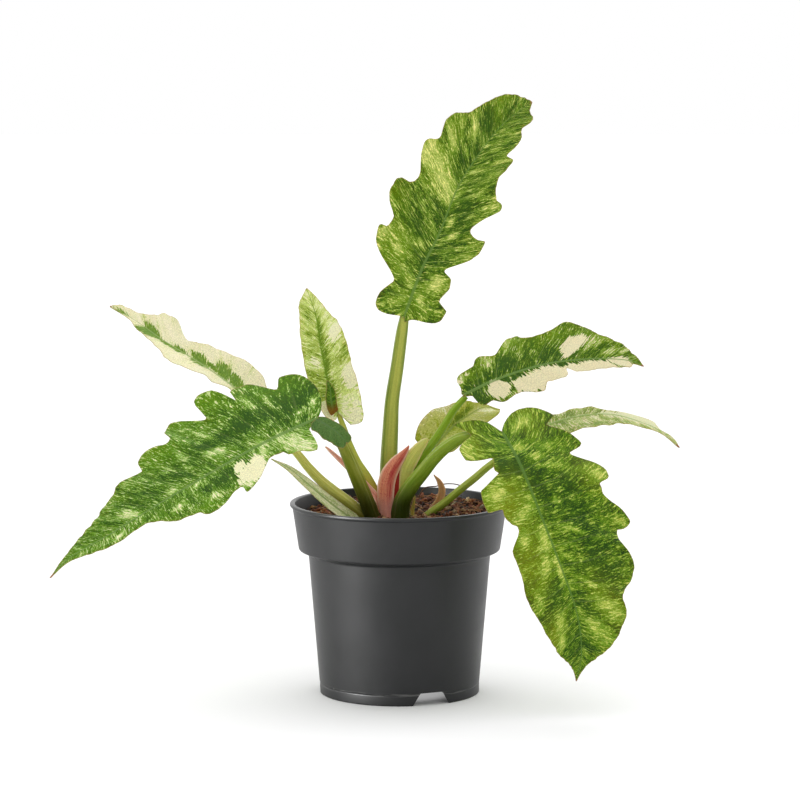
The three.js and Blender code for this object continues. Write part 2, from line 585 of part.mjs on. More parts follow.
function pot() {
  const lipFoot = POT_HEIGHT - LIP_HEIGHT;
  const profile = [
    [0, FLOOR_UNDERSIDE_Z],
    [FOOT_RADIUS - FOOT_WALL, FLOOR_UNDERSIDE_Z],
    [FOOT_RADIUS - FOOT_WALL, 0],
    [FOOT_RADIUS, 0],
    [FOOT_RADIUS, FOOT_HEIGHT],
    [BODY_TOP_RADIUS, BODY_TOP_Z],
    [COLLAR_FOOT_RADIUS, COLLAR_FOOT_Z],
    [RIM_RADIUS - LIP_OVERHANG, lipFoot - LIP_ROUND],
    [RIM_RADIUS, lipFoot],
    [RIM_RADIUS, POT_HEIGHT - LIP_ROUND],
    [RIM_RADIUS - LIP_ROUND, POT_HEIGHT],
    [RIM_RADIUS - LIP_OVERHANG - WALL + LIP_ROUND, POT_HEIGHT],
    [RIM_RADIUS - LIP_OVERHANG - WALL, POT_HEIGHT - LIP_ROUND],
    [COLLAR_FOOT_RADIUS - WALL, COLLAR_FOOT_Z + WALL],
    [BODY_TOP_RADIUS - WALL, BODY_TOP_Z + WALL],
    [FOOT_RADIUS - WALL, FLOOR_TOP_Z],
    [0, FLOOR_TOP_Z],
  ];
  let body = toManifold(lathe(profile, POT_SEGMENTS));
  const shape = new THREE.Shape();
  const slope = (NOTCH_FOOT_WIDTH - NOTCH_TOP_WIDTH) / 2 / NOTCH_HEIGHT;
  const low = NOTCH_FOOT_WIDTH / 2 + slope * NOTCH_BELOW;
  shape.moveTo(-low, -NOTCH_BELOW);
  shape.lineTo(low, -NOTCH_BELOW);
  shape.lineTo(NOTCH_TOP_WIDTH / 2, NOTCH_HEIGHT);
  shape.lineTo(-NOTCH_TOP_WIDTH / 2, NOTCH_HEIGHT);
  shape.closePath();
  for (const degrees of NOTCH_DEGREES) {
    const wedge = new THREE.ExtrudeGeometry(shape, { depth: FOOT_WALL * 3, bevelEnabled: false });
    wedge.rotateX(Math.PI / 2);
    wedge.translate(0, -(FOOT_RADIUS - FOOT_WALL * 2), 0);
    wedge.rotateZ(radians(degrees + 90));
    body = body.subtract(toManifold(wedge));
  }
  return body;
}

// height of the mix, a little higher at the back and lower on the left
function mixHeight(x, y) {
  const slope = (MIX_BACK_RISE * y) / RIM_RADIUS + (MIX_LEFT_DROP * Math.min(x, 0)) / RIM_RADIUS;
  const bumps = Math.sin(x * 0.21 + 1) * Math.cos(y * 0.17) + Math.sin(y * 0.33 + x * 0.1);
  return MIX_LEVEL + slope + (MIX_BUMP * bumps) / 2;
}

function pottingMix() {
  const wallSlope = (RIM_RADIUS - LIP_OVERHANG - COLLAR_FOOT_RADIUS) / (POT_HEIGHT - COLLAR_FOOT_Z);
  const inner = COLLAR_FOOT_RADIUS - WALL - GAP;
  const surface = inner + wallSlope * (MIX_SIDE_TOP - COLLAR_FOOT_Z - WALL);
  const profile = [
    [0, FLOOR_TOP_Z + GAP],
    [FOOT_RADIUS - WALL - GAP, FLOOR_TOP_Z + GAP],
    [BODY_TOP_RADIUS - WALL - GAP, BODY_TOP_Z + WALL + GAP],
    [inner, COLLAR_FOOT_Z + WALL + GAP],
    [surface, MIX_SIDE_TOP],
    [surface, MIX_LEVEL],
    [surface * 0.75, MIX_LEVEL],
    [surface * 0.4, MIX_LEVEL],
    [0, MIX_LEVEL],
  ];
  const geometry = lathe(profile, POT_SEGMENTS);
  const position = geometry.attributes.position;
  for (let i = 0; i < position.count; i += 1) {
    if (position.getZ(i) > MIX_SIDE_TOP + GAP) {
      position.setZ(i, mixHeight(position.getX(i), position.getY(i)));
    }
  }
  return toManifold(geometry);
}

function crown(grow) {
  const r = CROWN_RADIUS + grow;
  const profile = [
    [0, CROWN_BOTTOM - grow],
    [r * 0.7, CROWN_BOTTOM - grow],
    [r, CROWN_BOTTOM + CROWN_SHOULDER],
    [r, CROWN_TOP - CROWN_SHOULDER],
    [r * 0.75, CROWN_TOP - CROWN_SHOULDER * 0.4 + grow],
    [r * 0.35, CROWN_TOP - CROWN_SHOULDER * 0.1 + grow],
    [0, CROWN_TOP + grow],
  ];
  const geometry = lathe(profile, CROWN_SEGMENTS);
  geometry.translate(CROWN_X, CROWN_Y, 0);
  return toManifold(geometry);
}

const plant = new THREE.Group();
plant.position.set(AXIS_X, AXIS_Y, 0);

function place(name, manifold, colour, roughness = 0.6) {
  const material = new THREE.MeshStandardMaterial({ color: COLOURS[colour], roughness, metalness: 0 });
  const mesh = new THREE.Mesh(toGeometry(manifold), material);
  mesh.name = name;
  plant.add(mesh);
}

place('pot', pot(), 'pot', 0.45);
place('crown_stem', crown(0), 'crown', 0.8);

// what the next pieces have to stay clear of
const grownCrown = crown(GAP);
let grownStalks = null;
for (const [name, spec] of Object.entries(STALKS)) {
  let body = stalk(spec, 0).subtract(grownCrown);
  if (grownStalks) body = body.subtract(grownStalks);
  place(name, biggest(body), 'stalk', 0.4);
  const grown = stalk(spec, GAP);
  grownStalks = grownStalks ? grownStalks.add(grown) : grown;
}

let taken = grownCrown.add(grownStalks);
for (const [name, spec] of Object.entries(SHEATHS)) {
  const body = blade(spec, SCALE_VEINS, SHEATH_THICKNESS, false, 0).subtract(taken);
  place(name, biggest(body), spec.colour, 0.5);
  taken = taken.add(blade(spec, SCALE_VEINS, SHEATH_THICKNESS, false, GAP));
}

place('potting_mix', biggest(pottingMix().subtract(taken)), 'mix', 0.95);

for (const [name, spec] of Object.entries(BLADES)) {
  let body = blade(spec, BLADE_VEINS, BLADE_THICKNESS, true, 0);
  if (spec.lobe) body = body.add(blade(spec.lobe, SCALE_VEINS, BLADE_THICKNESS, false, 0));
  body = body.subtract(stalk(STALKS[BLADE_ON[name]], GAP));
  place(name, biggest(body), spec.colour, 0.4);
}

export default plant;
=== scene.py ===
import math

import bpy
import numpy as np
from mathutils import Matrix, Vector
from mathutils.kdtree import KDTree


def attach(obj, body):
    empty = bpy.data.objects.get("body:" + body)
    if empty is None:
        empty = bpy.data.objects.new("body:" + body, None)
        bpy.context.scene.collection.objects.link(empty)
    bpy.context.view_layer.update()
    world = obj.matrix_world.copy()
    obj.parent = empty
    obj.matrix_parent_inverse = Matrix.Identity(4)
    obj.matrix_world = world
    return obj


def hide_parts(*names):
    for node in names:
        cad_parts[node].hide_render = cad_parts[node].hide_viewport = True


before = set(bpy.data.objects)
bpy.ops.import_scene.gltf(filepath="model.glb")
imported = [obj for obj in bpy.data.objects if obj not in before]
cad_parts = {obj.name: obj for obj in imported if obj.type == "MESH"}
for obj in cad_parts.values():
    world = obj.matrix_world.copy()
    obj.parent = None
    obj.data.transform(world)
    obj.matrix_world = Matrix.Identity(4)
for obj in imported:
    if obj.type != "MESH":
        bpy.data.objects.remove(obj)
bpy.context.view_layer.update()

# Sizes below are millimetres from the pot's axis, and to_frame() brings them to metres.
MM = 0.001
POT_AXIS = np.array((14.7, 10.3, 0.0))

# pot
RIM_RADIUS = 60.0
POT_HEIGHT = 105.0
LIP_HEIGHT = 1.6
LIP_OVERHANG = 1.3
LIP_ROUND = 0.5
WALL = 1.4
COLLAR_FOOT_RADIUS = 55.2
COLLAR_FOOT_Z = 79.5
BODY_TOP_RADIUS = 49.9
BODY_TOP_Z = 77.0
FOOT_RADIUS = 43.9
FOOT_HEIGHT = 5.6
FOOT_WALL = 1.7
FLOOR_UNDERSIDE_Z = 6.0
FLOOR_TOP_Z = 7.5
NOTCH_START_DEGREES = 54.0
NOTCH_COUNT = 3
NOTCH_FOOT_WIDTH = 22.0
NOTCH_TOP_WIDTH = 13.5
NOTCH_HEIGHT = 7.0
CORNER_ROUND = 0.7
POT_SIDES = 192
SHARP_ANGLE = 40

# potting mix and crown
MIX_LEVEL = 98.5
MIX_BACK_RISE = 2.5
MIX_LEFT_DROP = 2.0
MIX_BUMP = 0.9
MIX_CRUMB = 0.35
MIX_GAP = 0.3
MIX_EDGE_DROP = 3.0
MIX_SIDES = 144
LITTER_INSET = 2.4
LITTER_DISC = (64, 12)
CROWN_RADIUS = 14.0
CROWN_BOTTOM = 82.0
CROWN_TOP = 101.0
CROWN_Y = -4.0
CROWN_SIDES = 72
LOOSE_ROOT = (
    (10.3, 30, 103), (14.2, 34, 107.8), (20.9, 38, 108.3), (25.4, 42, 108.9), (31.1, 45, 108.4),
    (35.1, 48, 106.3), (37.3, 49, 101.5),
)
LOOSE_ROOT_RADIUS = 0.35

# leaves: a grid is rows along the midrib and columns on each half
BLADE_THICKNESS = 0.6
EDGE_THICKNESS = 0.3
SCALE_SHEET_THICKNESS = 0.8
BLADE_GRID = (230, 20)
LOBE_GRID = (60, 10)
SCALE_GRID = (80, 9)
CLOSEST_ROWS = 0.3
RIB_HALF_WIDTH = 1.7
RIB_DEPTH = (2.0, 0.4)
RIB_RIDGE = 0.35
RIB_FLANK = 0.12
RIB_SOFTNESS = 0.7
RIB_SHARE = 0.35
RIB_COLUMNS = 4
MARGIN_CROWDING = 1.25
WAVE_LIMIT = 1.3
SPOT_FALL = 0.9
LEAF_SHIFT = 37.0
STALK_SHIFT = 53.0
MARGIN_WOBBLE = ((0.14, 0.9, 1), (0.06, 2.1, 2))
FRILL = 0.3
PLEAT = 9.0
LOBE_PLEAT = 3.0
PUFF = (0.45, 0.45)
LOBE_PUFF = (0.1, 0.1)
BLADE_VEINS = ((0, -62), (0.03, -30), (0.08, 5), (0.2, 28), (0.5, 42), (0.85, 56), (1, 66))
SCALE_VEINS = ((0, 0), (0.15, 20), (0.6, 35), (1, 60))
STREAK_SLANTS = {"blade_front_right": (0.42, 0.4), "blade_front_left": (0.5, 0.0)}
PUFFS = {"blade_tall": (1.1, 0.5), "blade_front_left": (0.5, 0.8), "blade_front_right": (0.7, 0.6)}

# grain of the leaf colours, as millimetres along the midrib, across it, and 1 from leaf to leaf
BEND_SIZE = (10, 15, 1)
BEND_REACH = 3.5
SECTOR_SIZE = (3.0, 16, 1)
BLOTCH_SIZE = (8, 12, 1)
STREAK_SIZE = (0.72, 6.6, 1)
FLECK_SIZE = (0.36, 2.3, 1)
CELL_SIZE = (0.3, 0.9, 1)
VEIN_GREEN = (150, 168, 96)
UNDERSIDE_GREEN = (150, 168, 100)
EDGE_BROWN = (168, 140, 84)
TIP_BROWN = (150, 92, 62)
SKIN_DEPTH = 0.002

# studio, in metres and watts
FLOOR_REACH = 6.0
ROOM_LIGHT = 0.63
CEILING_LIGHT = 0.62
CEILING_BAND = (0.5, 0.8)
BACK_LIGHT = 1.15
BACK_BAND = (0.1, 0.7)
SOFTBOX_SIZE = (0.36, 0.4)
SOFTBOX_POWER = 13.0
SOFTBOX_PLACE = (-0.5, -0.33, 0.2)
NOTCH_LIGHT_SIZE = 0.062
NOTCH_LIGHT_POWER = 0.004
CAMERA_SENSOR = 36.0
CAMERA_LENS = 166.05
CAMERA_REACH = 30.0
CAMERA_PLACE = (0.0150, -1.9897, 0.408)
CAMERA_PITCH = 7.03

# Leaf blades. rib: the midrib, base to tip. face: where the upper side looks at base, middle and
# tip. lift, curl, wave: how each half rises, bends and ripples. left and right: station along the
# rib and reach along the side vein. pale, cream, deep, warm: coloured areas as station, signed
# reach, half length along the rib, half length along the vein, strength.
LEAVES = {
    "blade_tall": {
        "rib": ((2.5, 20, 205), (12.5, 23, 231.5), (22, 27, 250.5), (32, 31, 275), (43.5, 36, 293),
            (57, 41, 309.5), (73, 46, 321.5)),
        "face": ((0.05, -1, 0.15), (-0.05, -1, 0.2), (-0.1, -1, 0.3)),
        "lift": (12, 14),
        "curl": (0.004, 0.003),
        "wave": ((2.2, 6, 0.1), (1.8, 6, 0.4)),
        "half": 30,
        "left": ((0, 1.5), (0.013, 3.5), (0.036, 17), (0.047, 19), (0.057, 18.5), (0.087, 12.5),
            (0.144, 32), (0.168, 34.5), (0.176, 30), (0.185, 29.5), (0.199, 30.5), (0.214, 38),
            (0.242, 42), (0.273, 42.5), (0.311, 39.5), (0.342, 32), (0.391, 27.5), (0.464, 35),
            (0.507, 29), (0.554, 33.5), (0.579, 33), (0.654, 25.5), (0.798, 19.5), (0.966, 4.5),
            (1, 0.6)),
        "right": ((0, 3), (0.021, 6), (0.055, 21), (0.068, 21.5), (0.077, 16), (0.114, 19),
            (0.134, 18.5), (0.159, 13), (0.196, 26.5), (0.232, 29.5), (0.27, 29.5), (0.279, 25),
            (0.321, 18.5), (0.346, 24.5), (0.36, 34), (0.373, 34.5), (0.401, 29.5), (0.489, 26),
            (0.522, 27.5), (0.567, 27.5), (0.615, 20.5), (0.639, 22.5), (0.677, 23.5), (0.713, 21.5),
            (0.76, 18), (0.78, 20.5), (0.926, 6.5), (1, 0.6)),
        "pale": ((0.463, -28.5, 4.5, 9, 0.62), (0.459, -17.9, 6, 11, 0.62), (0.454, -6.3, 6, 9, 0.5),
            (0.425, -14.4, 5, 9, 0.45), (0.469, -23.6, 2, 7, 0.5), (0.548, -22.6, 1.6, 9, 0.5),
            (0.666, -15.6, 3.5, 7, 0.48), (0.695, -7.6, 3.5, 6, 0.42), (0.228, -7.8, 1.6, 3, 0.7),
            (0.154, -18.1, 1.6, 5, 0.55), (0.188, -16.5, 1.5, 6, 0.45), (0.16, -30, 2.5, 4, 0.6),
            (0.365, 4.8, 1.8, 1.6, 0.75), (0.307, 8.1, 2.4, 3, 0.7), (0.119, 10.8, 3, 4.5, 0.6),
            (0.068, 5.2, 1.8, 2, 0.7), (0.442, 12.4, 1.1, 9, 0.6), (0.379, 28.1, 1.3, 7, 0.6),
            (0.578, 20.7, 1.2, 7, 0.5), (0.705, 1.3, 1.4, 4, 0.55), (0.565, 5, 1.6, 4, 0.5),
            (0.601, -8.2, 1.2, 2.5, 0.6), (0.117, -3.9, 2, 3, 0.5)),
        "deep": ((0.734, -11.1, 8, 9, 0.8), (0.664, -4.8, 5, 7, 0.7), (0.562, -6.7, 4, 6, 0.7),
            (0.4, -6.8, 6, 10, 0.6), (0.193, 0, 7, 9, 0.55), (0.248, -16.8, 6, 8, 0.6),
            (0.383, 10.1, 14, 6, 0.5), (0.869, -6.6, 5, 6, 0.5)),
        "warm": ((0.57, -25.8, 4, 9, 0.7), (0.252, -39.3, 7, 12, 0.6), (0.059, 1, 7, 10, 0.5),
            (0.801, -15.7, 7, 12, 0.7), (0.16, -20.5, 8, 12, 0.8), (0.459, -14.2, 8, 16, 0.45)),
    },
    "blade_front_left": {
        "rib": ((-44, -32, 155.5), (-70.5, -43, 144.5), (-97.5, -54, 130.5), (-125, -63, 115),
            (-152, -71, 99), (-173.5, -77, 87), (-184, -80, 77)),
        "face": ((-0.1, -0.7, 0.7), (-0.15, -0.68, 0.7), (-0.25, -0.6, 0.7)),
        "lift": (-4, 14),
        "curl": (-0.004, -0.003),
        "wave": ((1.8, 6, 0), (2, 6, 0.3)),
        "half": 32,
        "left": ((0, 1.5), (0.048, 4.5), (0.065, 18), (0.093, 14.5), (0.12, 13.5), (0.133, 10.5),
            (0.169, 11), (0.2, 20.5), (0.223, 24), (0.241, 24.5), (0.252, 20), (0.261, 19),
            (0.326, 25.5), (0.345, 26), (0.362, 24.5), (0.373, 22.5), (0.434, 19), (0.56, 8.5),
            (0.628, 10), (0.851, 2.5), (1, 0.6)),
        "right": ((0, 1.5), (0.03, 26.5), (0.044, 32), (0.059, 34), (0.067, 27), (0.082, 34), (0.1, 38),
            (0.118, 38), (0.133, 36.5), (0.138, 30), (0.146, 38), (0.154, 43), (0.173, 45.5),
            (0.184, 44.5), (0.198, 32.5), (0.224, 43.5), (0.239, 46), (0.259, 44.5), (0.278, 41.5),
            (0.294, 34.5), (0.318, 33), (0.361, 37.5), (0.388, 36), (0.414, 29), (0.466, 29.5),
            (0.492, 28), (0.514, 25.5), (0.563, 23), (0.606, 18.5), (0.709, 11.5), (0.832, 4),
            (0.898, 2.5), (1, 0.6)),
        "pale": ((0.098, -6.9, 5, 6, 0.62), (0.081, -12.4, 5, 5, 0.55), (0.126, -2, 4, 4, 0.45),
            (0.185, -4.6, 2.2, 6, 0.6), (0.231, -20.3, 4, 3, 0.6), (0.288, 12.3, 1.8, 3, 0.62),
            (0.266, 10.9, 2.2, 2.6, 0.62), (0.242, 23.7, 1.6, 5, 0.5), (0.336, 19.7, 1.6, 4, 0.55),
            (0.362, 11.8, 1.5, 3, 0.5), (0.126, 23.8, 1.8, 6, 0.45), (0.089, 21.6, 1.3, 6, 0.65),
            (0.049, 7.9, 2, 2, 0.75), (0.024, 12.1, 0.9, 4, 0.7), (0.394, -2.5, 1.8, 1.6, 0.8),
            (0.459, 2.8, 2, 1.6, 0.75), (0.578, 5.7, 2.4, 5, 0.75), (0.629, -5.8, 2, 2.2, 0.8),
            (0.336, -16, 1.8, 2.4, 0.6), (0.44, -10.6, 3.5, 2.5, 0.45), (0.385, 17.5, 1.4, 5, 0.4)),
        "cream": ((0.21, -13.1, 4.5, 8, 1), (0.259, -6.8, 3, 4, 0.9), (0.235, -13.4, 5, 6, 1)),
        "deep": ((0.161, 16.8, 16, 7, 0.8), (0.068, 15.4, 12, 14, 0.7), (0.262, 17.2, 12, 6, 0.6),
            (0.376, 13.4, 10, 8, 0.5), (0.515, 10.6, 10, 8, 0.4), (0.305, -8.3, 9, 5, 0.6)),
        "warm": ((0.168, 41.9, 6, 9, 0.8), (0.073, 27, 6, 8, 0.8), (0.345, 30.7, 9, 9, 0.7),
            (0.233, 41.7, 8, 10, 0.6), (0.354, -21.6, 5, 4, 0.8), (0.779, -3.1, 14, 6, 0.4)),
        "lobe": {
            "rib": ((-45, -32.5, 155), (-40, -35, 152.5), (-35, -37, 149.5), (-31, -38.5, 146),
                (-28.5, -39, 143)),
            "face": ((0.35, -0.8, 0.6), (0.4, -0.8, 0.6), (0.5, -0.8, 0.5)),
            "lift": (5, 5),
            "curl": (-0.02, -0.02),
            "half": 8,
            "left": ((0, 2), (0.116, 4.6), (0.659, 6.4), (0.807, 4.6), (1, 0.6)),
            "right": ((0, 4), (0.076, 8), (0.153, 8), (0.295, 9.5), (0.673, 8), (1, 0.6)),
        },
    },
    "blade_back_left": {
        "rib": ((-75.5, 9, 152), (-91, 16, 166), (-110, 24, 178.5), (-130, 31, 190), (-146, 37, 200.5),
            (-160.5, 42, 208.5)),
        "face": ((0.4, -0.5, 0.75), (0.4, -0.5, 0.75), (0.45, -0.45, 0.75)),
        "lift": (8, 20),
        "curl": (-0.004, 0.004),
        "wave": ((0.8, 4, 0), (0.8, 4, 0.5)),
        "half": 20,
        "left": ((0, 2), (0.05, 9), (0.12, 6), (0.198, 4), (0.248, 10), (0.295, 9), (0.353, 16),
            (0.398, 17.5), (0.438, 17.5), (0.471, 15), (0.62, 10), (0.694, 9), (0.798, 4), (0.886, 2),
            (1, 0.6)),
        "right": ((0, 4), (0.04, 12), (0.088, 15), (0.132, 18), (0.189, 19), (0.24, 18.5), (0.309, 17.5),
            (0.381, 15), (0.457, 11), (0.48, 13), (0.503, 21), (0.529, 23), (0.56, 22.5), (0.641, 15),
            (0.789, 8.5), (0.842, 8.5), (0.906, 6.5), (1, 0.6)),
        "deep": ((0.675, -2.1, 7, 9, 0.95), (0.532, -18.5, 8, 4, 0.8), (0.511, 0.2, 5, 4, 0.75),
            (0.402, 1.8, 6, 6, 0.8), (0.272, 5, 6, 6, 0.8), (0.207, 4.3, 5, 5, 0.8),
            (0.325, 3.3, 9, 3, 0.6), (0.566, -1.4, 9, 3, 0.6), (0.91, 0.1, 9, 5, 0.55)),
    },
    "blade_upright": {
        "rib": ((-34, 16, 152.5), (-39.5, 20, 170), (-43.5, 23, 189), (-46, 24, 205), (-51, 24, 220)),
        "face": ((0.1, -1, 0.2), (0.05, -1, 0.1), (0, -1, 0)),
        "lift": (14, 10),
        "curl": (0.006, 0.004),
        "wave": ((0.8, 4, 0), (1, 4, 0.4)),
        "half": 17,
        "left": ((0, 4), (0.02, 7.5), (0.063, 9), (0.107, 8.5), (0.244, 13), (0.663, 14), (0.799, 10),
            (0.884, 6), (1, 0.6)),
        "right": ((0, 10), (0.021, 15.5), (0.05, 14.5), (0.085, 15.5), (0.346, 18), (0.504, 16),
            (0.632, 11), (0.903, 4), (1, 0.6)),
        "cream": ((0.476, 12.3, 5, 7, 0.7), (0.166, 14.2, 6, 7, 0.7), (0.347, -6, 4, 5, 0.5),
            (0.05, -6.8, 4, 8, 0.7), (0.015, 11.2, 5, 6, 0.6), (0.499, -11.1, 3, 4, 0.3),
            (0.06, 5.5, 5, 5, 0.4)),
        "deep": ((0.589, 0.9, 11, 2.6, 0.9), (0.364, 1.5, 11, 3, 0.9), (0.305, 14.3, 3.5, 9, 0.6),
            (0.191, 1.5, 9, 3, 0.7), (0.464, -5.5, 9, 7, 0.35), (0.226, 8.8, 4, 6, 0.35),
            (0.659, -7.3, 8, 6, 0.4), (0.193, -6.9, 8, 8, 0.35)),
        "lobe": {
            "rib": ((-35, 15, 153), (-36.5, 11.5, 155.5), (-37.5, 10.5, 160), (-38, 11, 165.5),
                (-39.5, 12, 170.5)),
            "face": ((0.1, -1, 0.1), (0.1, -1, 0.1), (0.1, -1, 0)),
            "lift": (10, 10),
            "curl": (0.02, 0.02),
            "half": 6,
            "left": ((0, 1), (0.095, 3.5), (0.499, 3.5), (0.852, 2), (1, 0.6)),
            "right": ((0, 1), (0.047, 2), (0.536, 3.5), (0.841, 2), (1, 0.6)),
        },
    },
    "blade_upper_right": {
        "rib": ((35.5, 6, 163.5), (55, 2, 173), (79.5, -1, 181), (104, -2, 184), (123, -3, 183.5),
            (132.5, -4, 180.5)),
        "face": ((0, -0.7, 0.75), (0, -0.7, 0.72), (0.1, -0.65, 0.75)),
        "lift": (12, -6),
        "curl": (-0.003, -0.006),
        "wave": ((1.5, 4, 0), (1.5, 4, 0.5)),
        "half": 25,
        "left": ((0, 1.5), (0.025, 6), (0.033, 11), (0.048, 13), (0.081, 13.5), (0.093, 16.5),
            (0.111, 17.5), (0.161, 16), (0.188, 25), (0.213, 26), (0.254, 22), (0.32, 21), (0.349, 23.5),
            (0.385, 29.5), (0.415, 29), (0.541, 19.5), (0.682, 13.5), (0.761, 8), (1, 0.6)),
        "right": ((0, 1.5), (0.045, 3), (0.079, 11.5), (0.112, 11.5), (0.139, 15), (0.16, 16),
            (0.215, 14.5), (0.271, 18), (0.296, 18), (0.344, 13), (0.404, 13.5), (0.436, 11), (0.46, 6),
            (0.48, 10), (0.586, 9), (0.76, 7), (0.857, 2), (1, 0.6)),
        "pale": ((0.533, -13.2, 1.6, 5, 0.6), (0.65, -6.5, 2.5, 3, 0.65), (0.71, -8.8, 2, 3, 0.7),
            (0.134, -12.4, 2.2, 4, 0.6), (0.121, -16.2, 1.4, 4, 0.5), (0.04, -10.2, 3, 2.6, 0.65),
            (0.191, -22.5, 1.3, 5, 0.5), (0.258, -14.5, 1, 6, 0.4), (0.563, -14.7, 1.6, 4, 0.5)),
        "cream": ((0.462, -13.3, 4.5, 7, 1), (0.475, -7, 2.6, 4, 0.9), (0.377, 8.4, 10, 7, 1),
            (0.281, 10.6, 8, 7, 0.95), (0.426, 9.7, 6, 6, 1), (0.161, 7.5, 5, 6, 1),
            (0.162, 2.3, 3, 4, 0.8), (0.504, 7.9, 7, 5, 1), (0.603, 6.6, 9, 5, 1),
            (0.755, 2.2, 8, 5, 1)),
        "deep": ((0.25, 4.4, 6, 5, 0.75), (0.375, 0.2, 22, 1.8, 0.8), (0.581, 2.5, 18, 1.5, 0.9),
            (0.073, 2.2, 6, 8, 0.7), (0.399, -5.7, 14, 6, 0.5), (0.209, -7.1, 12, 7, 0.6)),
        "warm": ((0.32, -20.9, 12, 8, 0.6), (0.501, -19.7, 12, 8, 0.6), (0.172, -21.9, 8, 9, 0.6),
            (0.07, -11.1, 6, 6, 0.5)),
    },
    "blade_front_right": {
        "rib": ((55, -36, 148.5), (64.5, -50, 132.5), (75, -61, 107.5), (85.5, -68, 81), (94, -72, 56.5),
            (96.5, -74, 36), (94, -74, 20.5)),
        "face": ((0.2, -0.8, 0.6), (0.2, -0.9, 0.4), (0.15, -1, 0.1)),
        "lift": (8, -2),
        "curl": (-0.005, -0.006),
        "wave": ((1.8, 6, 0), (1.8, 6, 0.5)),
        "half": 32,
        "left": ((0, 1.5), (0.02, 20), (0.038, 27.5), (0.056, 31), (0.061, 24.5), (0.085, 35),
            (0.108, 38), (0.132, 29.5), (0.146, 38.5), (0.167, 47), (0.179, 47.5), (0.199, 41),
            (0.219, 41), (0.254, 53), (0.27, 55.5), (0.298, 50), (0.308, 45.5), (0.345, 43.5),
            (0.387, 48), (0.406, 48.5), (0.429, 47.5), (0.528, 35), (0.569, 35), (0.6, 32.5),
            (0.793, 11.5), (0.847, 6.5), (0.899, 4), (1, 0.6)),
        "right": ((0, 10), (0.01, 20), (0.021, 28.5), (0.028, 18), (0.052, 26), (0.07, 25.5),
            (0.078, 20), (0.092, 12), (0.128, 15), (0.144, 13.5), (0.154, 28), (0.196, 29.5), (0.23, 21),
            (0.251, 21.5), (0.275, 20), (0.299, 17), (0.309, 17.5), (0.33, 26), (0.384, 26.5),
            (0.454, 31), (0.536, 28), (0.583, 27.5), (0.651, 24), (0.829, 10), (0.925, 4), (1, 0.6)),
        "pale": ((0.095, -3.8, 2.6, 3.4, 0.7), (0.135, -10.5, 1.6, 4, 0.6), (0.106, -19.2, 2, 5, 0.45),
            (0.034, -12.5, 1.5, 7, 0.55), (0.167, -19.2, 1.3, 9, 0.5), (0.178, -41.3, 1.6, 5, 0.6),
            (0.271, -12.1, 1.6, 3, 0.5), (0.356, -17.5, 1.2, 6, 0.65), (0.452, -7.3, 1.4, 4, 0.55),
            (0.518, -14.7, 1.5, 5, 0.5), (0.278, -50.3, 1.6, 5, 0.55), (0.573, -24.6, 4, 9, 0.5),
            (0.672, -12.4, 5, 9, 0.5), (0.603, 15.2, 6, 5, 0.55), (0.665, 17, 5, 3.5, 0.65),
            (0.399, 3.9, 5, 4, 0.7), (0.337, 16.4, 3, 4, 0.6), (0.507, 1.7, 7, 2.2, 0.75),
            (0.453, 10.6, 2.5, 6, 0.5), (0.185, 20.3, 5, 6, 0.6), (0.285, 9.7, 3, 9, 0.5),
            (0.434, 8.9, 1.6, 5, 0.6), (0.493, 23, 4, 4, 0.45), (0.059, 22.4, 3.5, 3.5, 0.55)),
        "deep": ((0.555, 12.3, 6, 9, 0.7), (0.165, 0.2, 7, 5, 0.7), (0.618, -8, 6, 6, 0.5),
            (0.259, -21.2, 16, 10, 0.4), (0.133, 9.4, 5, 4, 0.9), (0.426, -27.5, 16, 12, 0.4),
            (0.772, 0.9, 8, 6, 0.5), (0.236, -5.1, 14, 4, 0.6)),
        "warm": ((0.222, 18.5, 12, 14, 0.9), (0.389, 17.9, 16, 14, 0.7), (0.608, 22.2, 9, 10, 0.7),
            (0.145, 20, 8, 8, 0.7), (0.048, 20, 6, 7, 0.7), (0.17, -40.4, 6, 14, 0.5),
            (0.55, -25.6, 12, 12, 0.5), (0.032, -16.9, 6, 9, 0.5)),
    },
    "blade_far_right": {
        "rib": ((77, 11.5, 144.5), (96.5, 14, 150), (117, 17, 151), (135.5, 19.5, 145.5), (146, 21, 140),
            (154.5, 22, 132.5)),
        "face": ((0, -0.3, 1), (0.05, -0.32, 1), (0.3, -0.35, 0.9)),
        "lift": (10, -4),
        "curl": (-0.004, -0.004),
        "wave": ((0.8, 4, 0), (0.8, 4, 0.5)),
        "half": 20,
        "left": ((0, 2), (0.051, 9), (0.12, 7), (0.195, 9.5), (0.255, 9), (0.36, 5), (0.568, 8),
            (0.726, 2.5), (0.857, 4.5), (1, 0.6)),
        "right": ((0, 4), (0.05, 11), (0.117, 14), (0.189, 15), (0.363, 11.5), (0.551, 6), (0.782, 2.5),
            (1, 0.6)),
        "cream": ((0.541, -3.1, 14, 6, 0.9), (0.395, -1.1, 8, 3, 0.7), (0.121, -7.4, 4, 5, 0.4)),
        "deep": ((0.186, -1.8, 8, 5, 0.6), (0.209, 11.2, 14, 2.5, 0.8), (0.402, 6.2, 14, 2, 0.6),
            (0.104, 2.8, 8, 5, 0.7), (0.324, -2.9, 9, 3, 0.4)),
    },
    "blade_small_back": {
        "rib": ((22.5, 20, 136.5), (31, 25, 144.5), (39, 29, 149.5), (47, 33, 153), (55.5, 37, 151.5)),
        "face": ((-0.25, -0.85, 0.4), (-0.2, -0.8, 0.55), (-0.1, -0.8, 0.6)),
        "lift": (10, 10),
        "curl": (0.004, 0.002),
        "wave": ((0.8, 3, 0), (0.8, 3, 0.5)),
        "half": 20,
        "left": ((0, 8), (0.015, 14.5), (0.113, 15.5), (0.222, 13), (0.376, 11), (0.725, 3),
            (0.857, 1.5), (1, 0.6)),
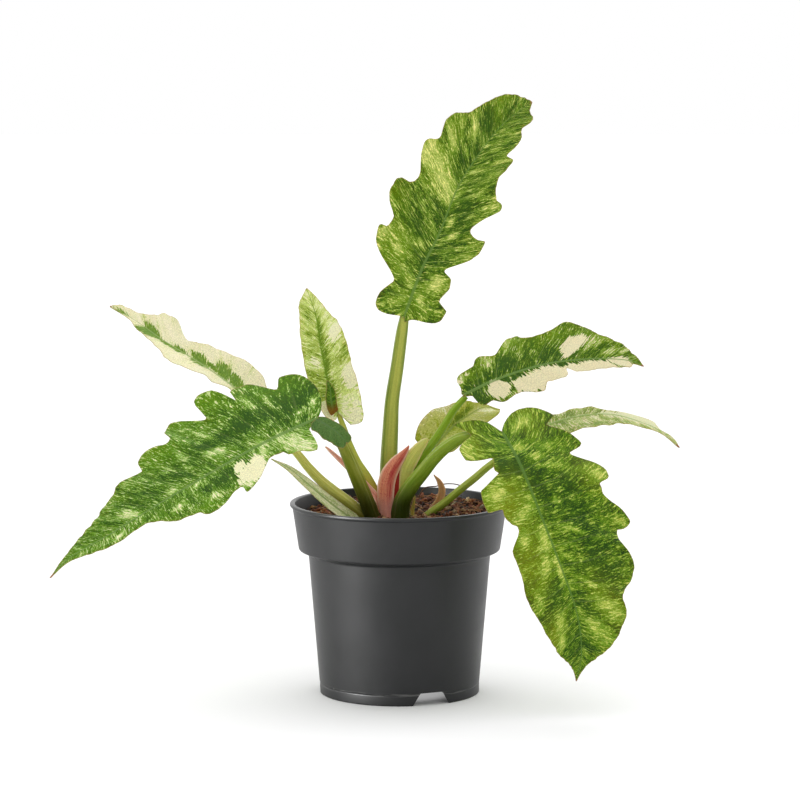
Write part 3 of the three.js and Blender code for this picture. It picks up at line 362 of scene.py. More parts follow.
        "right": ((0, 6), (0.05, 12), (0.323, 12), (0.422, 14), (0.529, 14.5), (0.8, 7), (1, 0.6)),
        "pale": ((0.197, -11.9, 5, 7, 0.5), (0.621, 4.1, 7, 7, 0.5), (0.505, 2.2, 6, 6, 0.3)),
        "cream": ((0.795, 3.2, 4, 5, 0.4),),
        "deep": ((0.302, -2, 8, 3, 0.9), (0.429, -3.3, 8, 2.4, 0.7)),
        "warm": ((0.175, -5.2, 6, 6, 0.4),),
    },
}

SCALES = {
    "bract_variegated": {
        "rib": ((-22, -15, 95), (-30, -17, 101), (-40, -15.5, 108.5), (-51, -12, 117.5),
            (-60, -9, 124.5), (-69.5, -6, 129.5)),
        "face": ((0.3, -0.8, 0.5), (0.3, -0.8, 0.55), (0.3, -0.8, 0.6)),
        "lift": (18, 18),
        "curl": (0.03, 0.03),
        "half": 6,
        "left": ((0, 5), (0.3, 5.2), (0.7, 3.4), (1, 0.6)),
        "right": ((0, 4), (0.3, 4.2), (0.7, 3), (1, 0.6)),
    },
    "sheath_pink_left": {
        "rib": ((-9, -6, 98), (-12, -7.5, 107), (-18, -8, 114.5), (-26.5, -9, 123.5),
            (-33.5, -11, 130.5), (-40, -12, 137)),
        "face": ((0.4, -0.8, 0.4), (0.4, -0.8, 0.4), (0.4, -0.8, 0.4)),
        "lift": (25, 25),
        "curl": (0.05, 0.05),
        "half": 4,
        "left": ((0, 2.6), (0.5, 2.6), (0.9, 1.8), (1, 0.8)),
        "right": ((0, 2.6), (0.5, 2.6), (0.9, 1.8), (1, 0.8)),
    },
    "sheath_pink_centre": {
        "rib": ((-6.5, -14, 98), (-7.5, -12.5, 108), (-6.5, -9.5, 118.5), (-2.5, -7, 127.5),
            (5, -4, 136.5)),
        "face": ((-0.1, -1, 0.1), (-0.1, -1, 0.2), (-0.3, -1, 0.4)),
        "lift": (-10, -10),
        "curl": (-0.09, -0.09),
        "half": 6,
        "left": ((0, 3), (0.25, 5.8), (0.45, 6.6), (0.7, 5), (0.9, 2), (1, 0.6)),
        "right": ((0, 2.5), (0.25, 5), (0.45, 5.4), (0.7, 5.2), (0.9, 3), (1, 0.6)),
    },
    "sheath_red_inner": {
        "rib": ((-2.5, -6, 101), (-1.5, -5.5, 112), (-0.5, -4.5, 120.5), (1, -3, 127.5),
            (3, -1.5, 132.5)),
        "face": ((0, -1, 0.1), (0, -1, 0.2), (-0.1, -1, 0.3)),
        "lift": (-8, -8),
        "curl": (-0.06, -0.06),
        "half": 6,
        "left": ((0, 2), (0.4, 4), (0.8, 3), (1, 0.6)),
        "right": ((0, 2), (0.4, 3.4), (0.8, 2.6), (1, 0.6)),
    },
    "sheath_green_bud": {
        "rib": ((2, -5.5, 101), (2.5, -7, 113), (4.5, -7, 124), (9, -5, 132.5), (15.5, -2, 140)),
        "face": ((0, -1, 0.1), (-0.1, -1, 0.2), (-0.3, -1, 0.4)),
        "lift": (-8, -8),
        "curl": (-0.08, -0.08),
        "half": 6,
        "left": ((0, 2), (0.3, 3.6), (0.6, 6.4), (0.85, 5.2), (1, 0.6)),
        "right": ((0, 2), (0.3, 3), (0.6, 4.2), (0.85, 3), (1, 0.6)),
    },
    "sheath_yellowish": {
        "rib": ((7.5, -11.5, 95), (7, -11.5, 101), (7.6, -11.5, 105), (8.4, -11.5, 110)),
        "face": ((0.2, -1, 0.1), (0.2, -1, 0.1), (0.2, -1, 0.1)),
        "lift": (5, 5),
        "curl": (0.05, 0.05),
        "half": 3,
        "left": ((0, 1.2), (0.6, 1.2), (1, 0.5)),
        "right": ((0, 1.2), (0.6, 1.2), (1, 0.5)),
    },
    "sheath_dry_brown": {
        "rib": ((14, 2.5, 95), (18.5, 3, 101), (21.5, 3.5, 105), (23.3, 3.5, 110.5), (22, 3.5, 115.5),
            (19, 3.5, 119.5)),
        "face": ((0.1, -1, 0.1), (0.1, -1, 0.1), (0.1, -1, 0.1)),
        "lift": (10, 10),
        "curl": (0.06, 0.06),
        "half": 4,
        "left": ((0, 1.8), (0.4, 2.4), (0.65, 2.4), (1, 0.5)),
        "right": ((0, 1.8), (0.4, 2.4), (0.65, 2.2), (1, 0.5)),
    },
}

STALKS = {
    "stalk_front_right": {
        "path": ((-1, -12, 88, 5.5), (0, -14, 97.5, 5.3), (1.5, -15, 107.5, 4.8), (6, -17, 116, 4.4),
            (12.5, -20, 124.5, 4), (18.5, -24, 132.5, 3.7), (25.5, -28, 139.5, 3.4),
            (33.5, -31, 144.5, 3.1), (44.5, -33, 146.5, 2.7), (55.2, -35.4, 145.8, 2)),
        "groove": (-0.5, -0.4, 0.8),
    },
    "stalk_front_left": {
        "path": ((-9, -12, 88, 4.6), (-13.5, -14, 96, 4.5), (-18, -16, 108.5, 4.2),
            (-22.5, -19, 120, 3.9), (-27, -23, 131.5, 3.6), (-31.5, -27, 142, 3.2), (-37, -30, 149, 2.8),
            (-44.3, -31, 153.6, 1.8)),
        "groove": (0.5, -0.5, 0.7),
    },
    "stalk_tall": {
        "path": ((-5, 6, 88, 5), (-6, 10, 98, 5.2), (-6, 11, 121, 4.9), (-5, 13, 143, 4.4),
            (-4, 15, 159.5, 3.9), (-1.5, 17.5, 176, 3.7), (1.3, 20.5, 196, 3.3), (2.9, 22.4, 206, 2.4)),
        "groove": (0.1, -1, 0),
    },
    "stalk_back_left": {
        "path": ((-12, -9.5, 91, 3.2), (-18.5, -12, 98.5, 3.4), (-26, -12, 105, 3.3),
            (-34, -10, 111, 3.1), (-43, -7, 118, 2.8), (-50, -4, 125, 2.5), (-57.5, 0, 133.5, 2.2),
            (-76.3, 10.4, 151.4, 1.4)),
        "groove": (0.4, -0.6, 0.7),
    },
    "stalk_upright": {
        "path": ((-8, -2, 94, 2.8), (-10.5, -1, 102, 2.7), (-13, 1, 109.5, 2.6), (-17.5, 3.5, 118, 2.4),
            (-23, 7, 126, 2.2), (-27.5, 10.5, 135.5, 1.9), (-31, 14.5, 145, 1.6),
            (-34.4, 17.3, 153.5, 1.2)),
        "groove": (0.4, -0.8, 0.3),
    },
    "stalk_upper_right": {
        "path": ((3, 0, 94, 2.7), (3.5, 0, 109, 2.6), (6.5, 0.5, 120.5, 2.5), (13, 1, 130, 2.4),
            (18.7, 2, 138, 2.2), (25, 3.5, 147.5, 2.1), (30, 5.5, 155.5, 2), (36.4, 7.2, 162.4, 1.6)),
        "groove": (-0.6, -0.5, 0.5),
    },
    "stalk_far_right": {
        "path": ((8, -4, 93, 2.6), (13.5, -3, 96.5, 2.5), (17.5, -2, 99.5, 2.3), (25, -1, 105, 2.2),
            (33, 1, 111.5, 2.1), (41.5, 3, 118, 2.1), (49.5, 5, 124.5, 2), (63.5, 8, 134, 1.8),
            (77.8, 12, 143.1, 1.4)),
        "groove": (-0.4, -0.5, 0.7),
    },
    "stalk_small_back": {
        "path": ((2.5, 6, 93, 2.2), (3.5, 9, 105, 2.1), (7, 11.5, 113.5, 2), (13, 14.5, 122, 1.8),
            (19.5, 18, 131.5, 1.6), (23.2, 21.4, 136.6, 1.3)),
        "groove": (-0.6, -0.5, 0.5),
    },
}

# which profile axis of a swept ring looks along the channel, and which across it
CHANNEL_FACING = 0
CHANNEL_ACROSS = 1

# Leaf skins. tones: colours from dark green to cream, by how pale a point is. base: how pale the
# leaf is on the whole. deep, warm, rib, tip, foot: other colours of the leaf.
LEAF_SKINS = {
    "blade_tall": dict(
        tones=((0.1, (38, 70, 0)), (0.21, (68, 106, 2)), (0.34, (103, 140, 27)),
               (0.48, (138, 168, 54)), (0.64, (175, 195, 90)), (0.92, (235, 236, 140))),
        base=0.28, blotches=0.25, deep=(54, 92, 10), warm=(116, 152, 6), rib=(104, 136, 58)),
    "blade_front_left": dict(
        tones=((0.1, (42, 78, 6)), (0.21, (68, 110, 10)), (0.34, (94, 138, 20)),
               (0.48, (137, 180, 69)), (0.64, (196, 218, 136)), (0.92, (245, 242, 196))),
        base=0.3, sectors=0.6, blotches=0.12, streaks=0.85, flecks=0.9, tip_start=0.95,
        tip=(160, 112, 78), deep=(54, 92, 22), warm=(98, 146, 0), rib=(112, 144, 72)),
    "blade_back_left": dict(
        tones=((0.1, (66, 98, 4)), (0.21, (98, 130, 10)), (0.34, (138, 168, 46)),
               (0.48, (197, 209, 128)), (0.7, (232, 229, 183)), (0.94, (241, 235, 198))),
        base=0.78, sectors=0.9, streaks=0.8, flecks=0.8, deep=(100, 140, 54), warm=(150, 180, 80),
        rib=(150, 172, 100), veins=0.05, deepness=0.15, patches=1.0),
    "blade_upright": dict(
        tones=((0.1, (80, 106, 0)), (0.21, (151, 179, 55)), (0.36, (185, 206, 96)),
               (0.52, (206, 225, 123)), (0.7, (226, 237, 161)), (0.92, (243, 243, 198))),
        base=0.50, sectors=1.2, deep=(110, 144, 34), warm=(170, 192, 70), rib=(104, 138, 22),
        veins=0.0, deepness=0.5),
    "blade_upper_right": dict(
        tones=((0.1, (40, 76, 0)), (0.21, (68, 103, 0)), (0.34, (102, 137, 6)),
               (0.48, (133, 163, 47)), (0.66, (168, 190, 94)), (0.92, (232, 224, 182))),
        base=0.27, sectors=0.7, blotches=0.2, tip_start=0.955, deep=(60, 96, 22), warm=(102, 140, 4),
        rib=(114, 146, 70)),
    "blade_front_right": dict(
        tones=((0.1, (28, 60, 0)), (0.21, (62, 97, 0)), (0.34, (90, 131, 4)),
               (0.48, (116, 154, 38)), (0.64, (158, 182, 64)), (0.92, (210, 217, 113))),
        base=0.28, sectors=0.8, blotches=0.25, deep=(50, 86, 8), warm=(130, 142, 8), rib=(92, 126, 50)),
    "blade_far_right": dict(
        tones=((0.1, (95, 106, 12)), (0.21, (117, 132, 39)), (0.36, (133, 154, 48)),
               (0.52, (165, 183, 94)), (0.7, (210, 200, 156)), (0.92, (218, 220, 175))),
        base=0.56, tip_start=0.94, deep=(128, 156, 72), warm=(150, 180, 80), rib=(150, 172, 96),
        veins=0.0),
    "blade_small_back": dict(
        tones=((0.1, (40, 68, 0)), (0.21, (80, 110, 0)), (0.36, (156, 172, 40)),
               (0.52, (184, 191, 95)), (0.7, (196, 198, 113)), (0.92, (229, 227, 188))),
        base=0.46, sectors=0.7, streaks=0.5, flecks=0.5, deep=(92, 120, 16), warm=(160, 168, 48),
        rib=(140, 156, 70), veins=0.05),
}
LOBE_SKINS = {
    "blade_front_left": dict(
        tones=((0.1, (56, 88, 30)), (0.3, (78, 112, 46)), (0.5, (104, 136, 66)), (0.9, (160, 180, 108))),
        base=0.26, sectors=0.3, streaks=0.2, flecks=0.2, blotches=0.1, veins=0.08, pleat=LOBE_PLEAT,
        rib=(84, 114, 60)),
    "blade_upright": dict(
        LEAF_SKINS["blade_tall"], base=0.2, deep=(60, 98, 12), warm=(190, 150, 40), tip_start=1.1,
        sectors=0.4, streaks=0.4, flecks=0.4, foot=(150, 92, 30)),
}
BRACT_SKIN = dict(
    tones=((0.1, (96, 128, 30)), (0.25, (138, 166, 66)), (0.45, (180, 196, 120)),
           (0.65, (216, 220, 166)), (0.9, (240, 236, 200))),
    base=0.62, veins=0.0, tip_start=1.1, lengthwise=True, rib=(150, 172, 96))
BLADE_SLOTS = {
    "blade_tall": "leaf_green", "blade_front_left": "leaf_green", "blade_upper_right": "leaf_green",
    "blade_front_right": "leaf_green", "blade_back_left": "leaf_cream", "blade_far_right": "leaf_cream",
    "blade_upright": "leaf_pale", "blade_small_back": "leaf_pale",
}
SCALE_SKINS = {
    "sheath_pink_left": ("sheath_pink", dict(
        body=(240, 180, 154), line=(214, 126, 112), edge=(244, 206, 180))),
    "sheath_pink_centre": ("sheath_pink", dict(
        body=(220, 144, 106), line=(190, 84, 70), edge=(238, 206, 176), spot=(176, 52, 48),
        flush=(168, 36, 40), low=(214, 150, 132))),
    "sheath_red_inner": ("sheath_red", dict(
        body=(196, 50, 40), line=(140, 24, 26), edge=(214, 96, 84))),
    "sheath_green_bud": ("sheath_green", dict(
        body=(200, 200, 100), line=(158, 166, 56), edge=(224, 208, 146))),
    "sheath_yellowish": ("sheath_green", dict(
        body=(190, 176, 80), line=(150, 138, 50), edge=(206, 190, 110))),
    "sheath_dry_brown": ("sheath_dry", dict(
        body=(214, 168, 118), line=(160, 112, 70), edge=(226, 190, 144), rough=0.7)),
}
# low, low_from, low_to: the colour a stalk turns to towards the soil, between these heights in
# millimetres; the near-black lows of the front stalks are painted shade of the crown, the brown ones the
# stalks' own colour
STALK_SKINS = {
    "stalk_front_right": dict(
        main=(114, 142, 26), light=(152, 174, 62), dark=(82, 116, 10), low=(8, 8, 2), low_from=104,
        low_to=124),
    "stalk_front_left": dict(
        main=(116, 128, 22), light=(154, 158, 60), dark=(80, 96, 8), low=(14, 16, 0), low_from=103,
        low_to=128),
    "stalk_tall": dict(
        main=(132, 148, 62), light=(182, 186, 84), dark=(98, 124, 40), low=(96, 84, 26), low_from=98,
        stripe=0.9, sides=0.6),
    "stalk_back_left": dict(
        main=(184, 182, 68), light=(212, 208, 116), dark=(146, 154, 50), low=(110, 106, 30)),
    "stalk_upright": dict(
        main=(142, 158, 44), light=(184, 186, 78), dark=(108, 128, 24), low=(170, 104, 40),
        low_from=100, low_to=126),
    "stalk_upper_right": dict(
        main=(112, 152, 10), light=(148, 176, 46), dark=(84, 124, 6), low=(100, 118, 30)),
    "stalk_far_right": dict(
        main=(140, 160, 40), light=(180, 190, 86), dark=(104, 130, 22), low=(120, 128, 40),
        low_from=96, low_to=104),
    "stalk_small_back": dict(
        main=(128, 148, 36), light=(164, 176, 70), dark=(96, 118, 20), low=(60, 66, 10)),
}

POT_DARK = (22, 24, 25)
POT_LIGHT = (27, 28, 30)
DUST_GREY = (140, 140, 136)
SCUFF_GREY = (120, 120, 118)

# Browns of the potting mix, by how light a point is.
GROUND_BROWNS = ((0.25, (14, 8, 5)), (0.45, (36, 20, 12)), (0.6, (62, 36, 24)), (0.78, (104, 66, 42)))
CHIP_BROWNS = ((0.0, (34, 18, 12)), (0.3, (98, 52, 32)), (0.55, (140, 80, 50)), (0.8, (164, 104, 68)),
               (0.93, (186, 150, 110)), (0.99, (214, 200, 170)))
THREAD_BROWNS = ((0.0, (86, 54, 34)), (0.5, (142, 98, 62)), (1.0, (188, 148, 104)))
CROWN_BROWNS = ((0.3, (48, 40, 16)), (0.5, (84, 80, 34)), (0.7, (122, 120, 60)))
DAMP_BROWN = (34, 20, 12)
CHIPS_FINE = {
    "Density": 120000.0, "Smallest": (0.0004, 0.0003, 0.0003), "Largest": (0.0012, 0.0008, 0.0006),
    "Sink": -0.0002, "Lumps": 0.0002, "Tilt": 0.9, "Seed": 3,
}
CHIPS_COARSE = {
    "Density": 62000.0, "Smallest": (0.0012, 0.0008, 0.0006), "Largest": (0.0034, 0.0019, 0.0014),
    "Sink": 0.0, "Lumps": 0.0008, "Tilt": 1.1, "Seed": 11,
}
FIBRES = {"Density": 62000.0, "Length": 0.008, "Bow": 0.0022, "Radius": 0.00016, "Tilt": 0.5, "Seed": 5}


def to_frame(points):
    return (np.asarray(points, float) + POT_AXIS) * MM


def unit(vectors):
    return vectors / np.maximum(np.linalg.norm(vectors, axis=-1, keepdims=True), 1e-12)


def soft_step(low, high, values):
    share = np.clip((np.asarray(values, float) - low) / (high - low), 0, 1)
    return share * share * (3 - 2 * share)


def through(points, shares):
    """Positions and directions on a smooth curve through all the points."""
    points = np.asarray(points, float)
    last = len(points) - 1
    place = np.clip(shares, 0, 1) * last
    first = np.minimum(np.floor(place).astype(int), last - 1)
    part = (place - first)[..., None]
    ends = np.vstack([2 * points[0] - points[1], points, 2 * points[-1] - points[-2]])
    p0, p1, p2, p3 = (ends[first + k] for k in range(4))
    t0 = 0.5 * (p2 - p0)
    t1 = 0.5 * (p3 - p1)
    square = -3 * p1 + 3 * p2 - 2 * t0 - t1
    cube = 2 * p1 - 2 * p2 + t0 + t1
    at = p1 + t0 * part + square * part**2 + cube * part**3
    along = t0 + 2 * square * part + 3 * cube * part**2
    return at, unit(along)


def rounded(pairs, stations):
    """Reads [station, value] pairs with rounded but never overshooting steps between them."""
    x, y = np.asarray(pairs, float).T
    step = np.diff(x)
    slope = np.diff(y) / step
    turn = np.zeros(len(x))
    same = slope[:-1] * slope[1:] > 0
    left = 2 * step[1:] + step[:-1]
    right = step[1:] + 2 * step[:-1]
    with np.errstate(divide="ignore", invalid="ignore"):
        middle = (left + right) / (left / slope[:-1] + right / slope[1:])
    turn[1:-1] = np.where(same, middle, 0)
    turn[0], turn[-1] = slope[0], slope[-1]
    i = np.clip(np.searchsorted(x, stations, side="right") - 1, 0, len(x) - 2)
    part = (stations - x[i]) / step[i]
    h0 = (1 + 2 * part) * (1 - part) ** 2
    h1 = part * (1 - part) ** 2
    h2 = part**2 * (3 - 2 * part)
    h3 = part**2 * (part - 1)
    return h0 * y[i] + h1 * step[i] * turn[i] + h2 * y[i + 1] + h3 * step[i] * turn[i + 1]


def new_piece(name, points, faces, marks=None):
    """A smooth mesh object from millimetre points, with a value or vector of each mark a point."""
    mesh = bpy.data.meshes.new(name)
    mesh.from_pydata(to_frame(points).tolist(), [], faces)
    for key, values in (marks or {}).items():
        values = np.asarray(values, float)
        vector = values.ndim == 2
        layer = mesh.attributes.new(key, "FLOAT_VECTOR" if vector else "FLOAT", "POINT")
        layer.data.foreach_set("vector" if vector else "value", values.ravel())
    mesh.polygons.foreach_set("use_smooth", [True] * len(mesh.polygons))
    piece = bpy.data.objects.new(name, mesh)
    bpy.context.collection.objects.link(piece)
    return piece


def finish_piece(piece, material, slot, *nodes):
    piece.data.materials.clear()
    piece.data.materials.append(material)
    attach(piece, "root")
    if nodes:
        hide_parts(*nodes)


class Sheet:
    """The grid of a leaf's or sheath's middle surface, its two faces and what is marked on it."""

    def __init__(self, spec, veins, grid, thickness, ribbed, seed):
        self.spec = spec
        fine = through(spec["rib"], np.linspace(0, 1, 200))[0]
        self.length = float(np.linalg.norm(np.diff(fine, axis=0), axis=1).sum())
        stations = self.row_stations(grid[0])
        mm = stations * self.length
        wobble = sum(size * np.sin(mm * pace + seed * turn) for size, pace, turn in MARGIN_WOBBLE)
        shares = np.linspace(0, 1, grid[1])
        reach, halves = [], []
        for side, edge in ((-1, spec["left"]), (1, spec["right"])):
            value = rounded(edge, stations)
            value = value + side * wobble * soft_step(3, 9, value)
            rib = np.minimum(RIB_HALF_WIDTH, RIB_SHARE * value)
            inner = np.linspace(0, 1, RIB_COLUMNS)
            outer = 1 - (1 - shares[1:]) ** MARGIN_CROWDING
            row = [rib[:, None] * inner, rib[:, None] + (value - rib)[:, None] * outer]
            reach.append(value)
            halves.append(side * np.concatenate(row, axis=1))
        self.signed = np.concatenate([halves[0][:, :0:-1], halves[1]], axis=1)
        self.rows, self.columns = self.signed.shape
        self.station = np.repeat(stations[:, None], self.columns, axis=1)
        own = np.where(self.signed < 0, reach[0][:, None], reach[1][:, None])
        self.share = np.abs(self.signed) / own
        self.middle = self.surface(veins, seed)
        across = np.gradient(self.middle, axis=1)
        ahead = np.gradient(self.middle, axis=0)
        normal = unit(np.cross(across, ahead))
        over = np.abs(self.signed)
        top = thickness / 2 * (1 - self.share**3) + EDGE_THICKNESS / 2 * self.share**3
        bottom = top.copy()
        if ribbed:
            taper = 1 - 0.7 * self.station
            ridge = RIB_RIDGE * np.exp(-((over / RIB_SOFTNESS) ** 2))
            flank = RIB_FLANK * np.exp(-(((over - RIB_HALF_WIDTH) / RIB_SOFTNESS) ** 2))
            top += taper * (ridge - flank)
            depth = RIB_DEPTH[0] + (RIB_DEPTH[1] - RIB_DEPTH[0]) * self.station
            width = np.clip(RIB_SHARE * own, 0.3, RIB_HALF_WIDTH) * 1.15
            bottom += depth * 0.5 * (1 + np.cos(np.pi * np.clip(over / width, 0, 1)))
        self.upper = self.middle + normal * top[..., None]
        self.lower = self.middle - normal * bottom[..., None]

    def row_stations(self, rows):
        """Even rows and every listed station of the margin, with no two rows too close."""
        listed = [pair[0] for pair in self.spec["left"] + self.spec["right"]]
        wanted = np.sort(np.concatenate([np.linspace(0, 1, rows), listed]))
        keep = [0.0]
        for station in wanted:
            if station - keep[-1] > CLOSEST_ROWS / self.length:
                keep.append(station)
        keep[-1] = 1.0
        return np.array(keep)

    def surface(self, veins, seed):
        spec = self.spec
        station, signed = self.station, self.signed
        at, along = through(spec["rib"], station)
        faces = np.asarray(spec["face"], float)
        half = (station >= 0.5).astype(int)
        share = (station * 2 - half)[..., None]
        up = faces[half] * (1 - share) + faces[half + 1] * share
        up = unit(up - (up * along).sum(-1, keepdims=True) * along)
        across = np.cross(along, up)
        which = (signed > 0).astype(int)
        lean = np.radians(np.interp(station, *np.asarray(veins, float).T))
        lift = np.radians(np.asarray(spec["lift"], float)[which]) * np.cos(lean)
        curl = np.asarray(spec["curl"], float)[which]
        reach = np.abs(signed)
        spread = (np.sin(lift + curl * reach) - np.sin(lift)) / curl
        rise = (np.cos(lift) - np.cos(lift + curl * reach)) / curl
        if "wave" in spec:
            height, count, start = np.moveaxis(np.asarray(spec["wave"], float)[which], -1, 0)
            far = np.minimum(reach / spec["half"], WAVE_LIMIT)
            rise += height * np.sin(2 * np.pi * (count * station + start)) * far**2
            rise += self.relief(reach, which, seed)
        side = np.where(signed < 0, -1, 1)
        return (
            at
            + (side * np.cos(lean) * spread)[..., None] * across
            + (np.sin(lean) * spread)[..., None] * along
            + rise[..., None] * up
        )

    def run(self):
        """Millimetres along the rib, slanted where the streaks stand more upright than the lobes."""
        slant = np.asarray(self.spec.get("slant", (0, 0)), float)[(self.signed > 0).astype(int)]
        return self.station * self.length + slant * np.abs(self.signed)

    def relief(self, reach, which, seed):
        """Sunken side veins, the skin puffed up between them, and a frilled margin."""
        mm = self.run()
        pleat = self.spec["pleat"]
        puff = np.asarray(self.spec["puff"], float)[which]
        between = 0.5 - 0.5 * np.cos(2 * np.pi * mm / pleat)
        body = puff * (between**0.6 - 0.6) * soft_step(1, 9, reach) * (1 - 0.6 * self.share**2)
        frill = FRILL * np.sin(2 * np.pi * mm / (pleat * 0.9) + seed) * self.share**4
        return body + frill * soft_step(4, 12, reach)

    def closed(self):
        """Points and faces of the closed sheet: upper side, lower side and edges."""
        rows, columns = self.rows, self.columns
        count = rows * columns
        index = np.arange(count).reshape(rows, columns)
        a, b = index[:-1, :-1], index[:-1, 1:]
        d, c = index[1:, :-1], index[1:, 1:]
        upper = np.stack([a, b, c, d], -1).reshape(-1, 4)
        lower = np.stack([a, d, c, b], -1).reshape(-1, 4) + count
        rim = np.concatenate([index[0], index[1:, -1], index[-1, -2::-1], index[-2:0:-1, 0]])
        after = np.roll(rim, -1)
        edge = np.stack([rim, rim + count, after + count, after], -1)
        points = np.concatenate([self.upper.reshape(-1, 3), self.lower.reshape(-1, 3)])
        return points, np.concatenate([upper, lower, edge]).tolist(), rim

    def spots(self, key):
        """How strongly each point lies in the areas listed under a key."""
        total = np.zeros_like(self.station)
        for station, reach, half_rib, half_vein, strength in self.spec.get(key, ()):
            far = ((self.station - station) * self.length / half_rib) ** 2
            far = far + ((self.signed - reach) / half_vein) ** 2
            total = np.maximum(total, strength * np.exp(-far * SPOT_FALL))
        return total

    def marks(self, rim, number):
        """What a skin reads at each point: where it is on the leaf, and its coloured areas."""
        points = self.middle.reshape(-1, 3)
        tree = KDTree(len(rim))
        for i, k in enumerate(rim):
            tree.insert(Vector(points[k]), i)
        tree.balance()
        edge = np.array([tree.find(Vector(p))[2] for p in points])
        shift = np.full_like(self.signed, number * LEAF_SHIFT)
        place = np.stack([self.run(), self.signed, shift], -1)
        values = {
            "place": place.reshape(-1, 3),
            "rib": (np.abs(self.signed) / (1.15 * (1 - 0.62 * self.station))).ravel(),
            "edge": edge,
            "tip": self.station.ravel(),
            "share": self.share.ravel(),
        }
        for key in ("pale", "cream", "deep", "warm"):
            values[key] = self.spots(key).ravel()
        doubled = {key: np.concatenate([value, value]) for key, value in values.items()}
        doubled["under"] = np.repeat([0.0, 1.0], len(points))
        return doubled

    def piece(self, name, number):
        points, faces, rim = self.closed()
        return new_piece(name, points, faces, self.marks(rim, number))


def paint(red, green, blue):
    """A display colour, 0 to 255, as the linear colour that a shader takes."""
    linear = []
    for value in (red, green, blue):
        value /= 255
        linear.append(value / 12.92 if value <= 0.04045 else ((value + 0.055) / 1.055) ** 2.4)
    return (*linear, 1.0)


def put(tree, kind, inputs=None, **settings):
    """Adds a node, sets it up and feeds its inputs with values or with other nodes' outputs."""
    node = tree.nodes.new(kind)
    for key, value in settings.items():
        setattr(node, key, value)
    for key, value in (inputs or {}).items():
        if isinstance(value, bpy.types.NodeSocket):
            tree.links.new(value, node.inputs[key])
        else:
            node.inputs[key].default_value = value
    return node


def out(tree, kind, inputs=None, **settings):
    """Adds a node and gives its first output."""
    return put(tree, kind, inputs, **settings).outputs[0]


def calc(tree, operation, *values, clamp=False):
    return out(tree, "ShaderNodeMath", dict(enumerate(values)), operation=operation, use_clamp=clamp)


def times(tree, first, second):
    return calc(tree, "MULTIPLY", first, second)


def scaled(tree, value, gain, start):
    return calc(tree, "MULTIPLY_ADD", value, gain, start)


def centred(tree, value, gain, middle):
    """A noise of 0 to 1 as one that swings by a gain about a middle."""
    return scaled(tree, calc(tree, "SUBTRACT", value, 0.5), gain, middle)


def band(tree, value, low, high):
    """0 where the value is at low, 1 where it is at high, smooth between."""
    inputs = {0: value, 1: low, 2: high}
    return out(tree, "ShaderNodeMapRange", inputs, interpolation_type="SMOOTHSTEP")


def bell(tree, value, middle, width):
    """1 at the middle, falling off on both sides."""
    aside = calc(tree, "DIVIDE", calc(tree, "SUBTRACT", value, middle), width)
    return calc(tree, "EXPONENT", times(tree, times(tree, aside, aside), -1.0))


def split(tree, vector):
    return put(tree, "ShaderNodeSeparateXYZ", {0: vector}).outputs


def xyz(tree, x=0.0, y=0.0, z=0.0):
    return out(tree, "ShaderNodeCombineXYZ", {0: x, 1: y, 2: z})


def vector_calc(tree, operation, first, second):
    key = "Scale" if operation == "SCALE" else 1
    return out(tree, "ShaderNodeVectorMath", {0: first, key: second}, operation=operation)


def mixed(tree, amount, low, high, how="MIX"):
    node = put(tree, "ShaderNodeMix", {0: amount, 6: low, 7: high}, data_type="RGBA", blend_type=how)
    return node.outputs[2]


def tint(tree, colour, amount, share, other):
    """Mixes another display colour in by a share of an amount."""
    return mixed(tree, times(tree, amount, share), colour, paint(*other))


def shaded(tree, colour, value):
    """A colour made darker or lighter by a value."""
    grey = out(tree, "ShaderNodeCombineColor", {0: value, 1: value, 2: value})
    return mixed(tree, 1.0, colour, grey, "MULTIPLY")


def mark(tree, name, vector=False):
    node = put(tree, "ShaderNodeAttribute", attribute_name=name)
    return node.outputs["Vector" if vector else "Fac"]


def object_place(tree):
    return put(tree, "ShaderNodeTexCoord").outputs["Object"]


def noise(tree, vector, scale, detail=3.0, rough=0.55):
    inputs = {"Vector": vector, "Scale": scale, "Detail": detail, "Roughness": rough}
    return out(tree, "ShaderNodeTexNoise", inputs)


def grain_of(tree, place, sizes, detail=2.0, rough=0.55):
    """Noise whose grain has a size along each axis of the place."""
    scale = tuple(1 / size for size in sizes)
    stretched = out(tree, "ShaderNodeMapping", {"Vector": place, "Scale": scale})
    return noise(tree, stretched, 1.0, detail, rough)


def ramp(tree, value, stops):
    node = put(tree, "ShaderNodeValToRGB", {0: value})
    elements = node.color_ramp.elements
    while len(elements) < len(stops):
        elements.new(0.5)
    for element, (place, colour) in zip(elements, stops):
        element.position = place
        element.color = paint(*colour)
    return node.outputs[0]


def level_ramp(tree, value, tones):
    """A ramp whose tones stay level for half of each step, as the layers of a variegated leaf do."""
    stops = []
    for i, (at, tone) in enumerate(tones):
        before = at - tones[i - 1][0] if i else 0.0
        after = tones[i + 1][0] - at if i + 1 < len(tones) else 0.0
        if i:
            stops.append((at - 0.25 * before, tone))
        stops.append((at + 0.25 * after, tone))
    return ramp(tree, value, stops)


def new_tree(kind, name, inputs, outputs):
    """A node tree with named inputs and outputs, and the sockets that lead in and out."""
    tree = bpy.data.node_groups.new(name, kind)
    for key, sort, value in inputs:
        socket = tree.interface.new_socket(key, in_out="INPUT", socket_type="NodeSocket" + sort)
        if value is not None:
            socket.default_value = value
    for key, sort in outputs:
        tree.interface.new_socket(key, in_out="OUTPUT", socket_type="NodeSocket" + sort)
    return tree, tree.nodes.new("NodeGroupInput").outputs, tree.nodes.new("NodeGroupOutput").inputs


def new_group(name, numbers, outputs):
    """A shader node group that takes a place and numbers, and gives numbers."""
    inputs = [("Place", "Vector", None)] + [(key, "Float", value) for key, value in numbers.items()]
    return new_tree("ShaderNodeTree", name, inputs, [(key, "Float") for key in outputs])


def give(tree, result, **values):
    for key, value in values.items():
        tree.links.new(value, result[key])


